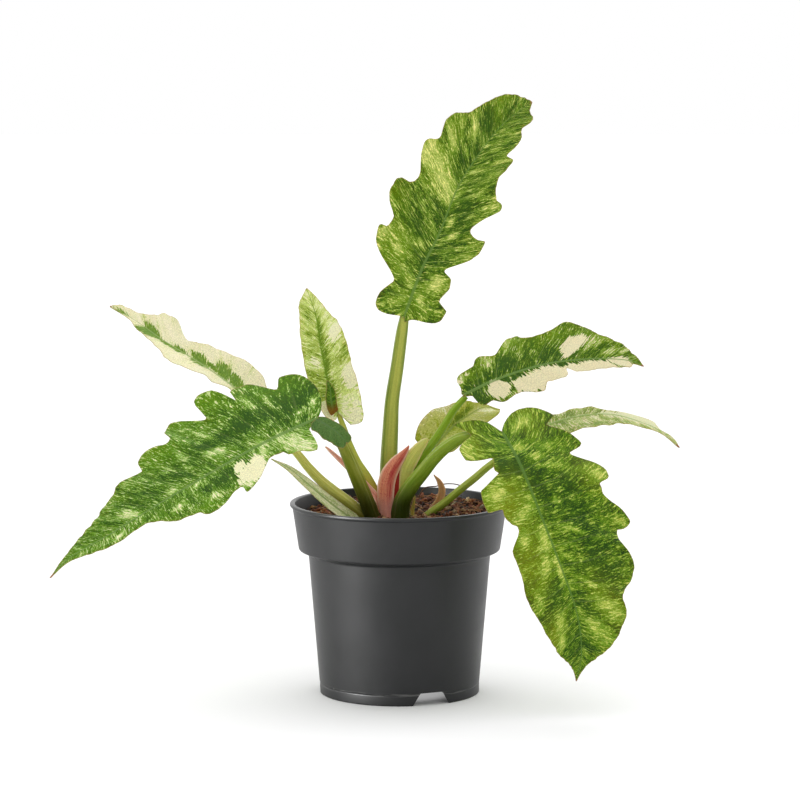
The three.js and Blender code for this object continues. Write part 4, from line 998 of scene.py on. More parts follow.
def use(tree, group, inputs):
    return put(tree, "ShaderNodeGroup", inputs, node_tree=group).outputs


def new_material(name, **settings):
    """A material with only its Principled shader, whose plain values are set on its sockets."""
    material = bpy.data.materials.new(name)
    material.use_nodes = True
    tree = material.node_tree
    skin = tree.nodes["Principled BSDF"]
    for key, value in settings.items():
        skin.inputs[key.replace("_", " ")].default_value = value
    return material, tree, skin


def finish_skin(tree, skin, colour, rough, height, depth_mm, strength):
    """Joins a colour, a roughness and a bump to a skin."""
    tree.links.new(colour, skin.inputs["Base Color"])
    tree.links.new(rough, skin.inputs["Roughness"])
    bump = {"Height": height, "Distance": depth_mm * MM, "Strength": strength}
    tree.links.new(out(tree, "ShaderNodeBump", bump), skin.inputs["Normal"])


def variegation_group():
    """How pale a leaf is at a point: soft sectors, ragged streaks and short flecks along the veins."""
    numbers = {"Pale": 0.2, "Cream": 0.0, "Green": 0.0, "Sectors": 1.0, "Streaks": 1.0, "Flecks": 1.0,
               "Blotches": 0.5}
    tree, given, result = new_group("leaf_variegation", numbers, ("Amount", "Cells"))
    bend = grain_of(tree, given["Place"], BEND_SIZE)
    along = vector_calc(tree, "ADD", given["Place"], xyz(tree, times(tree, bend, BEND_REACH)))
    blotch = grain_of(tree, given["Place"], BLOTCH_SIZE)
    sector, streak, fleck = (
        grain_of(tree, along, size, rough=0.5) for size in (SECTOR_SIZE, STREAK_SIZE, FLECK_SIZE)
    )
    cells = grain_of(tree, along, CELL_SIZE, 1.0, 0.5)
    ground = given["Pale"]
    for value, weight, gain in ((sector, "Sectors", 0.9), (blotch, "Blotches", 1.0)):
        ground = calc(tree, "ADD", ground, times(tree, centred(tree, value, gain, 0.0), given[weight]))
    ground = calc(tree, "MINIMUM", calc(tree, "MAXIMUM", ground, 0.06), 0.95)
    total = centred(tree, cells, 0.4, ground)
    for value, weight, low, high, gain in (
        (streak, "Streaks", 0.58, 0.61, 0.32), (streak, "Streaks", 0.42, 0.38, -0.12),
        (fleck, "Flecks", 0.58, 0.62, 0.3), (fleck, "Flecks", 0.42, 0.38, -0.12),
    ):
        part = times(tree, band(tree, value, low, high), gain)
        total = calc(tree, "ADD", total, times(tree, part, given[weight]))
    ragged = centred(tree, streak, 1.1, 0.0)
    for key, low, high, gain, level in (
        ("Cream", 0.34, 0.44, 0.35, 0.93), ("Green", 0.36, 0.46, 0.9, 0.27),
    ):
        patch = band(tree, calc(tree, "ADD", given[key], ragged), low, high)
        outside = times(tree, total, calc(tree, "SUBTRACT", 1.0, patch))
        inside = times(tree, centred(tree, fleck, gain, level), patch)
        total = calc(tree, "ADD", outside, inside)
    give(tree, result, Amount=calc(tree, "ADD", total, 0.0, clamp=True), Cells=cells)
    return tree


def fibre_lines_group():
    """Fine lines that run lengthwise on a stalk or sheath, and a slow change of tone."""
    numbers = {"Width": 0.6, "Length": 30.0}
    tree, given, result = new_group("lengthwise_lines", numbers, ("Lines", "Tone", "Grain"))
    size = xyz(tree, given["Length"], given["Width"], 1.0)
    lines = noise(tree, vector_calc(tree, "DIVIDE", given["Place"], size), 1.0, 3.0, 0.6)
    tone = grain_of(tree, given["Place"], (22, 3, 1))
    give(tree, result, Lines=band(tree, lines, 0.36, 0.64), Tone=band(tree, tone, 0.3, 0.7),
         Grain=noise(tree, given["Place"], 1.6))
    return tree


def plastic_wear_group():
    """Dust specks, faint scuffs and slow mottling of a moulded surface."""
    numbers = {"Speck Size": 3.0, "Scuff Height": 0.006}
    tree, given, result = new_group("plastic_wear", numbers, ("Specks", "Scuffs", "Mottle", "Grain"))
    scale = calc(tree, "DIVIDE", 1.0, times(tree, given["Speck Size"], MM))
    cells = put(tree, "ShaderNodeTexVoronoi", {"Vector": given["Place"], "Scale": scale}).outputs
    near = band(tree, cells["Distance"], 0.11, 0.03)
    lucky = out(tree, "ShaderNodeSeparateColor", {0: cells["Color"]})
    scratch = grain_of(tree, given["Place"], (0.02, 0.02, 0.0012), 4.0, 0.6)
    off = calc(tree, "SUBTRACT", split(tree, given["Place"])[2], given["Scuff Height"])
    low = band(tree, calc(tree, "ABSOLUTE", off), 0.0016, 0.0002)
    give(tree, result, Specks=times(tree, near, band(tree, lucky, 0.86, 0.9)),
         Scuffs=times(tree, low, band(tree, scratch, 0.5, 0.62)),
         Mottle=noise(tree, given["Place"], 45.0, 4.0), Grain=noise(tree, given["Place"], 1400.0, 2.0))
    return tree


def leaf_material(name, tones, base, sectors=1.0, streaks=1.0, flecks=1.0, blotches=0.4,
                  deep=(60, 96, 20), warm=(132, 160, 20), rib=(110, 142, 66), pleat=PLEAT, veins=0.18,
                  deepness=0.3, patches=0.0, tip_start=0.975, tip=TIP_BROWN, foot=None,
                  lengthwise=False):
    """Skin of a variegated leaf: its tones run from dark green to cream."""
    material, tree, skin = new_material(
        name, Specular_IOR_Level=0.16, Subsurface_Weight=0.08, Subsurface_Scale=SKIN_DEPTH)
    place = mark(tree, "place", vector=True)
    if lengthwise:
        turned = split(tree, place)
        place = xyz(tree, turned[1], turned[0], turned[2])
    pale = scaled(tree, mark(tree, "pale"), 0.75, base)
    pale = calc(tree, "SUBTRACT", pale, times(tree, mark(tree, "deep"), deepness))
    pattern = use(tree, VARIEGATION, {
        "Place": place, "Pale": pale, "Cream": mark(tree, "cream"),
        "Green": times(tree, mark(tree, "deep"), patches), "Sectors": sectors, "Streaks": streaks,
        "Flecks": flecks, "Blotches": blotches,
    })
    colour = level_ramp(tree, pattern["Amount"], tones)
    green = times(tree, band(tree, pattern["Amount"], 0.62, 0.3), 0.8)
    colour = tint(tree, colour, mark(tree, "warm"), green, warm)
    colour = tint(tree, colour, mark(tree, "deep"), green, deep)
    colour = shaded(tree, colour, calc(tree, "ADD", pattern["Cells"], 0.5))
    side_vein = band(tree, calc(tree, "PINGPONG", split(tree, place)[0], pleat / 2), 0.5, 0.1)
    side_vein = times(tree, side_vein, band(tree, mark(tree, "share"), 0.95, 0.3))
    colour = tint(tree, colour, side_vein, veins, VEIN_GREEN)
    colour = tint(tree, colour, band(tree, mark(tree, "rib"), 1.1, 0.6), 0.8, rib)
    colour = tint(tree, colour, band(tree, mark(tree, "edge"), 0.55, 0.15), 0.5, EDGE_BROWN)
    colour = tint(tree, colour, band(tree, mark(tree, "tip"), tip_start, tip_start + 0.03), 1.0, tip)
    if foot:
        colour = tint(tree, colour, band(tree, mark(tree, "tip"), 0.45, 0.1), 0.85, foot)
    colour = tint(tree, colour, mark(tree, "under"), 0.4, UNDERSIDE_GREEN)
    rough = scaled(tree, pattern["Cells"], 0.25, 0.38)
    relief = times(tree, calc(tree, "SUBTRACT", pattern["Cells"], side_vein), 0.5)
    finish_skin(tree, skin, colour, rough, relief, 0.25, 0.6)
    return material


def stalk_material(name, main, light, dark, low, low_from=99.0, low_to=112.0, stripe=0.3, sides=0.25):
    """Skin of a leaf stalk: lengthwise streaks, a paler channel, and a foot in the low colour, which is
    painted shade of the crown where that colour is near black and the stalk's own brown elsewhere.
    """
    material, tree, skin = new_material(
        name, Specular_IOR_Level=0.13, Subsurface_Weight=0.1, Subsurface_Scale=SKIN_DEPTH)
    place = mark(tree, "place", vector=True)
    lines = use(tree, FIBRE_LINES, {"Place": place, "Width": 0.8, "Length": 26.0})
    colour = mixed(tree, lines["Tone"], paint(*main), paint(*light))
    colour = tint(tree, colour, lines["Lines"], 0.35, light)
    inside = band(tree, mark(tree, "channel"), 0.35, 0.95)
    across = times(tree, calc(tree, "ABSOLUTE", split(tree, place)[2]), MM)
    across = calc(tree, "DIVIDE", across, mark(tree, "thick"))
    centre = times(tree, inside, band(tree, across, 0.5, 0.24))
    colour = tint(tree, colour, band(tree, across, 0.3, 0.85), sides, dark)
    colour = tint(tree, colour, centre, stripe, light)
    colour = tint(tree, colour, band(tree, mark(tree, "channel"), -0.2, -0.95), 0.5, dark)
    colour = shaded(tree, colour, scaled(tree, lines["Grain"], 0.5, 0.75))
    # painted shade: between low_to and low_from the colour turns to low; near-black lows paint the
    # crown's shade onto the stalk, brown lows are the stalk's own colour
    height = split(tree, object_place(tree))[2]
    colour = tint(tree, colour, band(tree, height, low_to * MM, low_from * MM), 0.85, low)
    rough = scaled(tree, lines["Grain"], 0.3, 0.2)
    finish_skin(tree, skin, colour, rough, calc(tree, "ADD", lines["Lines"], lines["Grain"]), 0.12, 0.7)
    return material


def scale_material(name, body, line, edge, spot=None, low=None, flush=None, rough=0.42):
    """Skin of a sheath: lengthwise veins over a body colour, a paler edge, spots and a tinted foot."""
    material, tree, skin = new_material(
        name, Specular_IOR_Level=0.3, Subsurface_Weight=0.2, Subsurface_Scale=SKIN_DEPTH)
    place = mark(tree, "place", vector=True)
    lines = use(tree, FIBRE_LINES, {"Place": place, "Width": 0.55, "Length": 20.0})
    colour = tint(tree, paint(*body), lines["Lines"], 0.6, line)
    if flush:
        veined = scaled(tree, lines["Lines"], 0.7, 0.3)
        colour = tint(tree, colour, band(tree, split(tree, place)[1], -1.2, 1.6), veined, flush)
    if spot:
        colour = tint(tree, colour, band(tree, noise(tree, place, 1.1, 2.0), 0.56, 0.64), 0.6, spot)
    colour = tint(tree, colour, band(tree, mark(tree, "share"), 0.55, 1.0), 0.8, edge)
    if low:
        colour = tint(tree, colour, band(tree, mark(tree, "tip"), 0.35, 0.1), 0.8, low)
    colour = shaded(tree, colour, scaled(tree, lines["Grain"], 0.5, 0.75))
    dull = scaled(tree, lines["Grain"], 0.3, rough - 0.15)
    finish_skin(tree, skin, colour, dull, lines["Lines"], 0.15, 0.7)
    return material


def pot_material():
    """Dark grey moulded plastic with a satin skin, dust specks and light scuffs."""
    material, tree, skin = new_material("pot_plastic_satin", Specular_IOR_Level=0.4)
    inputs = {"Place": object_place(tree), "Speck Size": 7.0, "Scuff Height": 0.0058}
    wear = use(tree, PLASTIC_WEAR, inputs)
    slow = band(tree, wear["Mottle"], 0.35, 0.65)
    colour = mixed(tree, slow, paint(*POT_DARK), paint(*POT_LIGHT))
    colour = tint(tree, colour, wear["Specks"], 0.5, DUST_GREY)
    colour = tint(tree, colour, wear["Scuffs"], 0.5, SCUFF_GREY)
    rough = scaled(tree, wear["Grain"], 0.12, 0.36)
    rough = calc(tree, "ADD", rough, times(tree, wear["Scuffs"], 0.2))
    rough = calc(tree, "ADD", rough, times(tree, slow, 0.05))
    relief = calc(tree, "ADD", times(tree, wear["Grain"], 0.4), wear["Specks"])
    finish_skin(tree, skin, colour, rough, relief, 0.06, 0.6)
    return material


def mix_material(name, browns, own_tones):
    """Coir and bark: browns by chip, where chips have their own tones, and by grain, with damp spots."""
    material, tree, skin = new_material(name, Specular_IOR_Level=0.25)
    spot = object_place(tree)
    grain = noise(tree, spot, 900.0, 4.0, 0.6)
    patch = noise(tree, spot, 130.0)
    if own_tones:
        tone = centred(tree, grain, 0.5, mark(tree, "tone"))
    else:
        tone = centred(tree, patch, 1.6, grain)
    colour = tint(tree, ramp(tree, tone, browns), band(tree, patch, 0.55, 0.42), 0.5, DAMP_BROWN)
    finish_skin(tree, skin, colour, scaled(tree, grain, 0.3, 0.65), grain, 0.4, 0.8)
    return material


def crown_material():
    """Corky short stem with ring scars, banded from dark brown to olive."""
    material, tree, skin = new_material("crown_bark", Specular_IOR_Level=0.3)
    rings = grain_of(tree, object_place(tree), (0.012, 0.012, 0.0012), 4.0)
    colour = ramp(tree, rings, CROWN_BROWNS)
    finish_skin(tree, skin, colour, scaled(tree, rings, 0.3, 0.45), rings, 0.5, 0.8)
    return material


def new_builder(name, numbers, vectors=()):
    """A Geometry Nodes tree that takes a mesh, a material, numbers and vectors, and gives a mesh."""
    inputs = [("Mesh", "Geometry", None), ("Material", "Material", None)]
    for key, value in numbers.items():
        inputs.append((key, "Int" if isinstance(value, int) else "Float", value))
    inputs += [(key, "Vector", None) for key in vectors]
    return new_tree("GeometryNodeTree", name, inputs, [("Mesh", "Geometry")])


def grown(piece, tree, inputs):
    """Runs a tree on a piece and leaves it with the plain mesh that comes out."""
    modifier = piece.modifiers.new("build", "NODES")
    modifier.node_group = tree
    for item in tree.interface.items_tree:
        if item.item_type == "SOCKET" and item.in_out == "INPUT" and item.name in inputs:
            modifier[item.identifier] = inputs[item.name]
    graph = bpy.context.evaluated_depsgraph_get()
    mesh = bpy.data.meshes.new_from_object(piece.evaluated_get(graph))
    piece.modifiers.remove(modifier)
    piece.data = mesh
    return piece


def named(tree, name, kind="FLOAT"):
    return out(tree, "GeometryNodeInputNamedAttribute", {0: name}, data_type=kind)


def stored(tree, geometry, name, value, kind="FLOAT"):
    inputs = {"Geometry": geometry, "Name": name, "Value": value}
    return out(tree, "GeometryNodeStoreNamedAttribute", inputs, data_type=kind, domain="POINT")


def own_position(tree):
    return out(tree, "GeometryNodeInputPosition")


def randomly(tree, low, high, seed, vector=False):
    """A random number or vector for each point, between two others."""
    first = 0 if vector else 2
    inputs = {first: low, first + 1: high, "Seed": seed}
    kind = "FLOAT_VECTOR" if vector else "FLOAT"
    return put(tree, "FunctionNodeRandomValue", inputs, data_type=kind).outputs[first // 2]


def last_step(tree, geometry, material, result):
    real = out(tree, "GeometryNodeRealizeInstances", {0: geometry})
    done = out(tree, "GeometryNodeSetMaterial", {"Geometry": real, "Material": material})
    tree.links.new(done, result[0])
    return tree


def stalk_tree():
    """Sweeps a round section with a channel and two low ridges along a path of changing radius."""
    tree, given, result = new_builder("channelled_stalk", {
        "Sides": 28, "Channel Depth": 0.26, "Channel Width": 0.5, "Ridge Height": 0.05,
        "Ridge Place": 0.85, "Ridge Width": 0.25, "Start": 0.0,
    })
    path = out(tree, "GeometryNodeMeshToCurve", {0: given["Mesh"]})
    facing = {"Curve": path, "Normal": named(tree, "groove", "FLOAT_VECTOR")}
    path = out(tree, "GeometryNodeSetCurveNormal", facing, mode="FREE")
    circle = {"Resolution": given["Sides"], "Radius": 1.0}
    ring = out(tree, "GeometryNodeCurvePrimitiveCircle", circle)
    spot = own_position(tree)
    parts = split(tree, spot)
    turn = calc(tree, "ABSOLUTE", calc(tree, "ARCTAN2", parts[CHANNEL_ACROSS], parts[CHANNEL_FACING]))
    dip = times(tree, bell(tree, turn, 0.0, given["Channel Width"]), given["Channel Depth"])
    lift = bell(tree, turn, given["Ridge Place"], given["Ridge Width"])
    lift = times(tree, lift, given["Ridge Height"])
    size = calc(tree, "ADD", calc(tree, "SUBTRACT", 1.0, dip), lift)
    moved = {"Geometry": ring, "Position": vector_calc(tree, "SCALE", spot, size)}
    ring = out(tree, "GeometryNodeSetPosition", moved)
    ring = stored(tree, ring, "section", spot, "FLOAT_VECTOR")
    sweep = {"Curve": path, "Profile Curve": ring, "Scale": named(tree, "thick"), "Fill Caps": True}
    body = out(tree, "GeometryNodeCurveToMesh", sweep)
    section = split(tree, named(tree, "section", "FLOAT_VECTOR"))
    thick = times(tree, named(tree, "thick"), 1 / MM)
    along = calc(tree, "ADD", named(tree, "along"), given["Start"])
    place = xyz(tree, along, times(tree, section[CHANNEL_FACING], thick),
                times(tree, section[CHANNEL_ACROSS], thick))
    body = stored(tree, body, "place", place, "FLOAT_VECTOR")
    body = stored(tree, body, "channel", section[CHANNEL_FACING])
    body = out(tree, "GeometryNodeSetShadeSmooth", {"Geometry": body, "Shade Smooth": True})
    return last_step(tree, body, given["Material"], result)


def swept(name, path, radii, facing, material, steps=64, **inputs):
    """A stalk or thread along a path of points, in millimetres."""
    shares = np.linspace(0, 1, steps + 1)
    at, along = through(path, shares)
    run = np.concatenate([[0], np.cumsum(np.linalg.norm(np.diff(at, axis=0), axis=1))])
    thick = np.interp(shares * (len(path) - 1), np.arange(len(path)), radii)
    thick = np.convolve(np.pad(thick, 3, mode="edge"), np.ones(7) / 7, mode="valid")
    facing = np.asarray(facing, float)
    groove = unit(facing - (along * facing).sum(-1, keepdims=True) * along)
    piece = new_piece(name, at, [], {"thick": thick * MM, "along": run, "groove": groove})
    edges = np.stack([np.arange(steps), np.arange(1, steps + 1)], -1)
    piece.data.edges.add(steps)
    piece.data.edges.foreach_set("vertices", edges.ravel())
    return grown(piece, STALK_TREE, {"Material": material, **inputs})


def notch_tree():
    """Cuts evenly spaced tapered notches into the foot of a round pot."""
    tree, given, result = new_builder("foot_notches", {
        "Count": 3, "Start Angle": 0.0, "Radius": 0.04, "Depth": 0.005, "Foot Width": 0.02,
        "Top Width": 0.012, "Height": 0.006,
    }, ("Middle",))
    below = times(tree, given["Height"], 0.3)
    full = calc(tree, "ADD", given["Height"], below)
    block = out(tree, "GeometryNodeMeshCube", {"Size": xyz(tree, given["Depth"], 1.0, full)})
    spot = split(tree, own_position(tree))
    high = calc(tree, "SUBTRACT", calc(tree, "ADD", spot[2], times(tree, full, 0.5)), below)
    share = calc(tree, "DIVIDE", high, given["Height"])
    change = calc(tree, "SUBTRACT", given["Top Width"], given["Foot Width"])
    wide = calc(tree, "ADD", given["Foot Width"], times(tree, share, change))
    shaped = {"Geometry": block, "Position": xyz(tree, spot[0], times(tree, spot[1], wide), high)}
    block = out(tree, "GeometryNodeSetPosition", shaped)
    circle = {"Vertices": given["Count"], "Radius": given["Radius"]}
    outward = out(tree, "FunctionNodeAlignRotationToVector", {"Vector": own_position(tree)},
                  axis="X", pivot_axis="Z")
    ring = out(tree, "GeometryNodeMeshCircle", circle)
    copies = {"Points": ring, "Instance": block, "Rotation": outward}
    cutters = out(tree, "GeometryNodeInstanceOnPoints", copies)
    cutters = out(tree, "GeometryNodeRealizeInstances", {0: cutters})
    turn = xyz(tree, z=given["Start Angle"])
    placed = {"Geometry": cutters, "Translation": given["Middle"], "Rotation": turn}
    cutters = out(tree, "GeometryNodeTransform", placed)
    cut = out(tree, "GeometryNodeMeshBoolean", {"Mesh 1": given["Mesh"], "Mesh 2": cutters},
              operation="DIFFERENCE", solver="EXACT")
    return last_step(tree, cut, given["Material"], result)


def scattered(tree, given, shape, size, offset=None):
    """Copies of a shape over a surface, each with a random turn and tone."""
    spread = {"Mesh": given["Mesh"], "Density": given["Density"], "Seed": given["Seed"]}
    points = out(tree, "GeometryNodeDistributePointsOnFaces", spread)
    if offset:
        points = out(tree, "GeometryNodeSetPosition", {"Geometry": points, "Offset": offset})
    points = stored(tree, points, "tone", randomly(tree, 0.0, 1.0, given["Seed"]))
    most = xyz(tree, given["Tilt"], given["Tilt"], 3.14)
    turn = randomly(tree, vector_calc(tree, "SCALE", most, -1.0), most, given["Seed"], vector=True)
    copies = {"Points": points, "Instance": shape, "Rotation": turn, "Scale": size}
    return out(tree, "GeometryNodeInstanceOnPoints", copies)


def litter_tree():
    """Scatters lumpy chips over a surface, each turned, sized and toned at random."""
    tree, given, result = new_builder("bark_and_coir", {
        "Density": 100000.0, "Sink": 0.0, "Lumps": 0.0006, "Tilt": 0.6, "Seed": 0,
    }, ("Smallest", "Largest"))
    lower = xyz(tree, z=times(tree, given["Sink"], -1.0))
    size = randomly(tree, given["Smallest"], given["Largest"], given["Seed"], vector=True)
    chip = out(tree, "GeometryNodeMeshIcoSphere", {"Radius": 1.0, "Subdivisions": 2})
    chips = out(tree, "GeometryNodeRealizeInstances", {0: scattered(tree, given, chip, size, lower)})
    grain = {"Vector": own_position(tree), "Scale": 420.0, "Detail": 1.0}
    lumps = put(tree, "ShaderNodeTexNoise", grain).outputs["Color"]
    push = vector_calc(tree, "SUBTRACT", lumps, (0.5, 0.5, 0.5))
    push = vector_calc(tree, "SCALE", push, times(tree, given["Lumps"], 4.0))
    chips = out(tree, "GeometryNodeSetPosition", {"Geometry": chips, "Offset": push})
    return last_step(tree, chips, given["Material"], result)


def fibre_tree():
    """Scatters short curved fibres over a surface."""
    tree, given, result = new_builder("loose_fibres", {
        "Density": 30000.0, "Length": 0.008, "Bow": 0.002, "Radius": 0.00012, "Tilt": 0.5, "Seed": 0,
    })
    half = times(tree, given["Length"], 0.5)
    bend = {
        "Resolution": 6, "Start": xyz(tree, times(tree, half, -1.0)),
        "Middle": xyz(tree, 0.0, given["Bow"], given["Bow"]), "End": xyz(tree, half),
    }
    thread = out(tree, "GeometryNodeCurveQuadraticBezier", bend)
    circle = {"Resolution": 4, "Radius": given["Radius"]}
    ring = out(tree, "GeometryNodeCurvePrimitiveCircle", circle)
    sweep = {"Curve": thread, "Profile Curve": ring, "Fill Caps": True}
    body = out(tree, "GeometryNodeCurveToMesh", sweep)
    fibres = scattered(tree, given, body, randomly(tree, 0.45, 1.3, given["Seed"]))
    return last_step(tree, fibres, given["Material"], result)


def filleted(profile, radius):
    """The profile with each corner rounded off by a short arc."""
    points = np.asarray(profile, float)
    result = [points[0]]
    for before, corner, after in zip(points[:-2], points[1:-1], points[2:]):
        back, ahead = before - corner, after - corner
        cut = min(radius, 0.4 * np.linalg.norm(back), 0.4 * np.linalg.norm(ahead))
        start = corner + unit(back) * cut
        end = corner + unit(ahead) * cut
        for share in np.linspace(0, 1, 5):
            result.append((1 - share) ** 2 * start + 2 * share * (1 - share) * corner + share**2 * end)
    result.append(points[-1])
    return np.array(result)


def circle_angles(count):
    return np.arange(count) * 2 * np.pi / count


def lathed(name, profile, segments):
    """A round solid from an outline that starts and ends on the axis."""
    inner = profile[1:-1]
    points = [[0, 0, profile[0][1]], [0, 0, profile[-1][1]]]
    for r, z in inner:
        points += [[r * np.cos(a), r * np.sin(a), z] for a in circle_angles(segments)]
    rows = len(inner)
    faces = []
    for k in range(segments):
        after = (k + 1) % segments
        faces.append([0, 2 + after, 2 + k])
        top = 2 + (rows - 1) * segments
        faces.append([1, top + k, top + after])
        for i in range(rows - 1):
            a = 2 + i * segments
            faces.append([a + k, a + after, a + segments + after, a + segments + k])
    return new_piece(name, points, faces)


def build_pot():
    lip_foot = POT_HEIGHT - LIP_HEIGHT
    inner_rim = RIM_RADIUS - LIP_OVERHANG - WALL
    outline = [
        (0, FLOOR_UNDERSIDE_Z), (FOOT_RADIUS - FOOT_WALL, FLOOR_UNDERSIDE_Z),
        (FOOT_RADIUS - FOOT_WALL, 0),
        (FOOT_RADIUS, 0), (FOOT_RADIUS, FOOT_HEIGHT - 0.4), (FOOT_RADIUS - 0.2, FOOT_HEIGHT),
        (FOOT_RADIUS + 0.1, FOOT_HEIGHT + 0.5), (BODY_TOP_RADIUS, BODY_TOP_Z),
        (COLLAR_FOOT_RADIUS, COLLAR_FOOT_Z), (RIM_RADIUS - LIP_OVERHANG, lip_foot - LIP_ROUND),
        (RIM_RADIUS, lip_foot), (RIM_RADIUS, POT_HEIGHT), (inner_rim, POT_HEIGHT),
        (COLLAR_FOOT_RADIUS - WALL, COLLAR_FOOT_Z + WALL), (BODY_TOP_RADIUS - WALL, BODY_TOP_Z + WALL),
        (FOOT_RADIUS - WALL, FLOOR_TOP_Z), (0, FLOOR_TOP_Z),
    ]
    pot = lathed("nursery_pot", filleted(outline, CORNER_ROUND), POT_SIDES)
    material = pot_material()
    grown(pot, notch_tree(), {
        "Count": NOTCH_COUNT, "Start Angle": math.radians(NOTCH_START_DEGREES),
        "Radius": (FOOT_RADIUS - FOOT_WALL / 2) * MM, "Depth": FOOT_WALL * 4 * MM,
        "Foot Width": NOTCH_FOOT_WIDTH * MM, "Top Width": NOTCH_TOP_WIDTH * MM,
        "Height": NOTCH_HEIGHT * MM, "Middle": tuple(POT_AXIS * MM), "Material": material,
    })
    pot.data.set_sharp_from_angle(angle=math.radians(SHARP_ANGLE))
    finish_piece(pot, material, "pot_plastic", "pot")
    return pot


def mix_height(x, y):
    """The top of the potting mix: higher at the back, lower on the left, bumpy all over."""
    slope = MIX_BACK_RISE * y / RIM_RADIUS + MIX_LEFT_DROP * np.minimum(x, 0) / RIM_RADIUS
    bumps = np.sin(x * 0.21 + 1) * np.cos(y * 0.17) + np.sin(y * 0.33 + x * 0.1)
    fine = np.sin(x * 1.3 + y * 0.7) * np.sin(y * 1.1 - x * 0.6 + 2)
    fine = fine + 0.6 * np.sin(x * 2.9) * np.sin(y * 2.6 + 1)
    return MIX_LEVEL + slope + MIX_BUMP * bumps / 2 + MIX_CRUMB * fine


def mix_disc(name, reach):
    """A disc that follows the top of the potting mix."""
    sides, rings = LITTER_DISC
    points, faces = [[0, 0, mix_height(0.0, 0.0)]], []
    for i, r in enumerate(np.linspace(0, reach, rings + 1)[1:]):
        for a in circle_angles(sides):
            x, y = r * np.cos(a), r * np.sin(a)
            points.append([x, y, mix_height(x, y)])
        b = 1 + i * sides
        for k in range(sides):
            after = (k + 1) % sides
            if i:
                faces.append([b - sides + k, b + k, b + after, b - sides + after])
            else:
                faces.append([0, b + k, b + after])
    return new_piece(name, points, faces)


def build_mix():
    wall_slope = (RIM_RADIUS - LIP_OVERHANG - COLLAR_FOOT_RADIUS) / (POT_HEIGHT - COLLAR_FOOT_Z)
    inner = COLLAR_FOOT_RADIUS - WALL - MIX_GAP
    top = inner + wall_slope * (MIX_LEVEL - MIX_EDGE_DROP - COLLAR_FOOT_Z - WALL)
    side = [(0, FLOOR_TOP_Z + MIX_GAP), (FOOT_RADIUS - WALL - MIX_GAP, FLOOR_TOP_Z + MIX_GAP),
            (BODY_TOP_RADIUS - WALL - MIX_GAP, BODY_TOP_Z + WALL + MIX_GAP),
            (inner, COLLAR_FOOT_Z + WALL + MIX_GAP), (top, MIX_LEVEL - MIX_EDGE_DROP - 0.5)]
    rings = [(top * share, MIX_LEVEL) for share in np.linspace(1, 0, 40)]
    body = lathed("coir_mix", np.array(side + rings), MIX_SIDES)
    points = np.array([v.co for v in body.data.vertices]) / MM - POT_AXIS
    raised = points[:, 2] > MIX_LEVEL - 1
    points[raised, 2] = mix_height(points[raised, 0], points[raised, 1])
    body.data.vertices.foreach_set("co", to_frame(points).ravel())
    finish_piece(body, mix_material("coir_ground", GROUND_BROWNS, False), "potting_mix", "potting_mix")

    loose = mix_material("coir_chips", CHIP_BROWNS, True)
    threads = mix_material("coir_threads", THREAD_BROWNS, True)
    for name, tree, material, values in (
        ("coir_chips_fine", LITTER_TREE, loose, CHIPS_FINE),
        ("coir_chips_coarse", LITTER_TREE, loose, CHIPS_COARSE),
        ("coir_fibres", FIBRE_TREE, threads, FIBRES),
    ):
        piece = grown(mix_disc(name, top - LITTER_INSET), tree, {**values, "Material": material})
        finish_piece(piece, material, "potting_mix")
    radii = [LOOSE_ROOT_RADIUS] * len(LOOSE_ROOT)
    root = swept("loose_root", LOOSE_ROOT, radii, (0, 0, 1), threads, steps=40, Sides=8)
    finish_piece(root, threads, "potting_mix")


def build_crown():
    share = np.linspace(0, 1, 40)
    z = CROWN_BOTTOM + (CROWN_TOP - CROWN_BOTTOM) * share
    swell = np.sqrt(np.clip(1 - ((share - 0.45) / 0.56) ** 2, 0, 1))
    r = CROWN_RADIUS * swell * (1 + 0.02 * np.sin(share * 40))
    profile = np.concatenate([[(0, z[0])], np.stack([r, z], -1)[1:-1], [(0, z[-1])]])
    crown = lathed("crown", profile, CROWN_SIDES)
    for vertex in crown.data.vertices:
        vertex.co.y += CROWN_Y * MM
    finish_piece(crown, crown_material(), "crown", "crown_stem")


def build_leaves():
    for number, (node, spec) in enumerate(LEAVES.items()):
        ending = node[len("blade"):]
        slot = BLADE_SLOTS[node]
        spec = dict(spec, slant=STREAK_SLANTS.get(node, (0, 0)), puff=PUFFS.get(node, PUFF), pleat=PLEAT)
        blade = Sheet(spec, BLADE_VEINS, BLADE_GRID, BLADE_THICKNESS, True, number * 1.7)
        piece = blade.piece("leaf" + ending, number)
        finish_piece(piece, leaf_material("leaf_skin" + ending, **LEAF_SKINS[node]), slot, node)
        if "lobe" in spec:
            flat = ((0, 1, 0), (0, 1, 0))
            small = dict(spec["lobe"], puff=LOBE_PUFF, pleat=LOBE_PLEAT, wave=flat)
            small = Sheet(small, SCALE_VEINS, LOBE_GRID, BLADE_THICKNESS, False, number * 2.3)
            lobe = small.piece("lobe" + ending, number + 9)
            finish_piece(lobe, leaf_material("lobe_skin" + ending, **LOBE_SKINS[node]), slot)


def build_scales():
    for number, (node, spec) in enumerate(SCALES.items()):
        ending = node.split("_", 1)[1]
        sheet = Sheet(spec, SCALE_VEINS, SCALE_GRID, SCALE_SHEET_THICKNESS, False, number * 1.3)
        piece = sheet.piece("scale_" + ending, number + 20)
        if node in SCALE_SKINS:
            slot, colours = SCALE_SKINS[node]
            skin = scale_material("scale_skin_" + ending, **colours)
        else:
            slot = "leaf_cream"
            skin = leaf_material("bract_skin", **BRACT_SKIN)
        finish_piece(piece, skin, slot, node)


def build_stalks():
    for number, (node, spec) in enumerate(STALKS.items()):
        ending = node[len("stalk"):]
        skin = stalk_material("stalk_skin" + ending, **STALK_SKINS[node])
        path = [p[:3] for p in spec["path"]]
        radii = [p[3] for p in spec["path"]]
        piece = swept("petiole" + ending, path, radii, spec["groove"], skin, Start=number * STALK_SHIFT)
        finish_piece(piece, skin, "stalk_green", node)


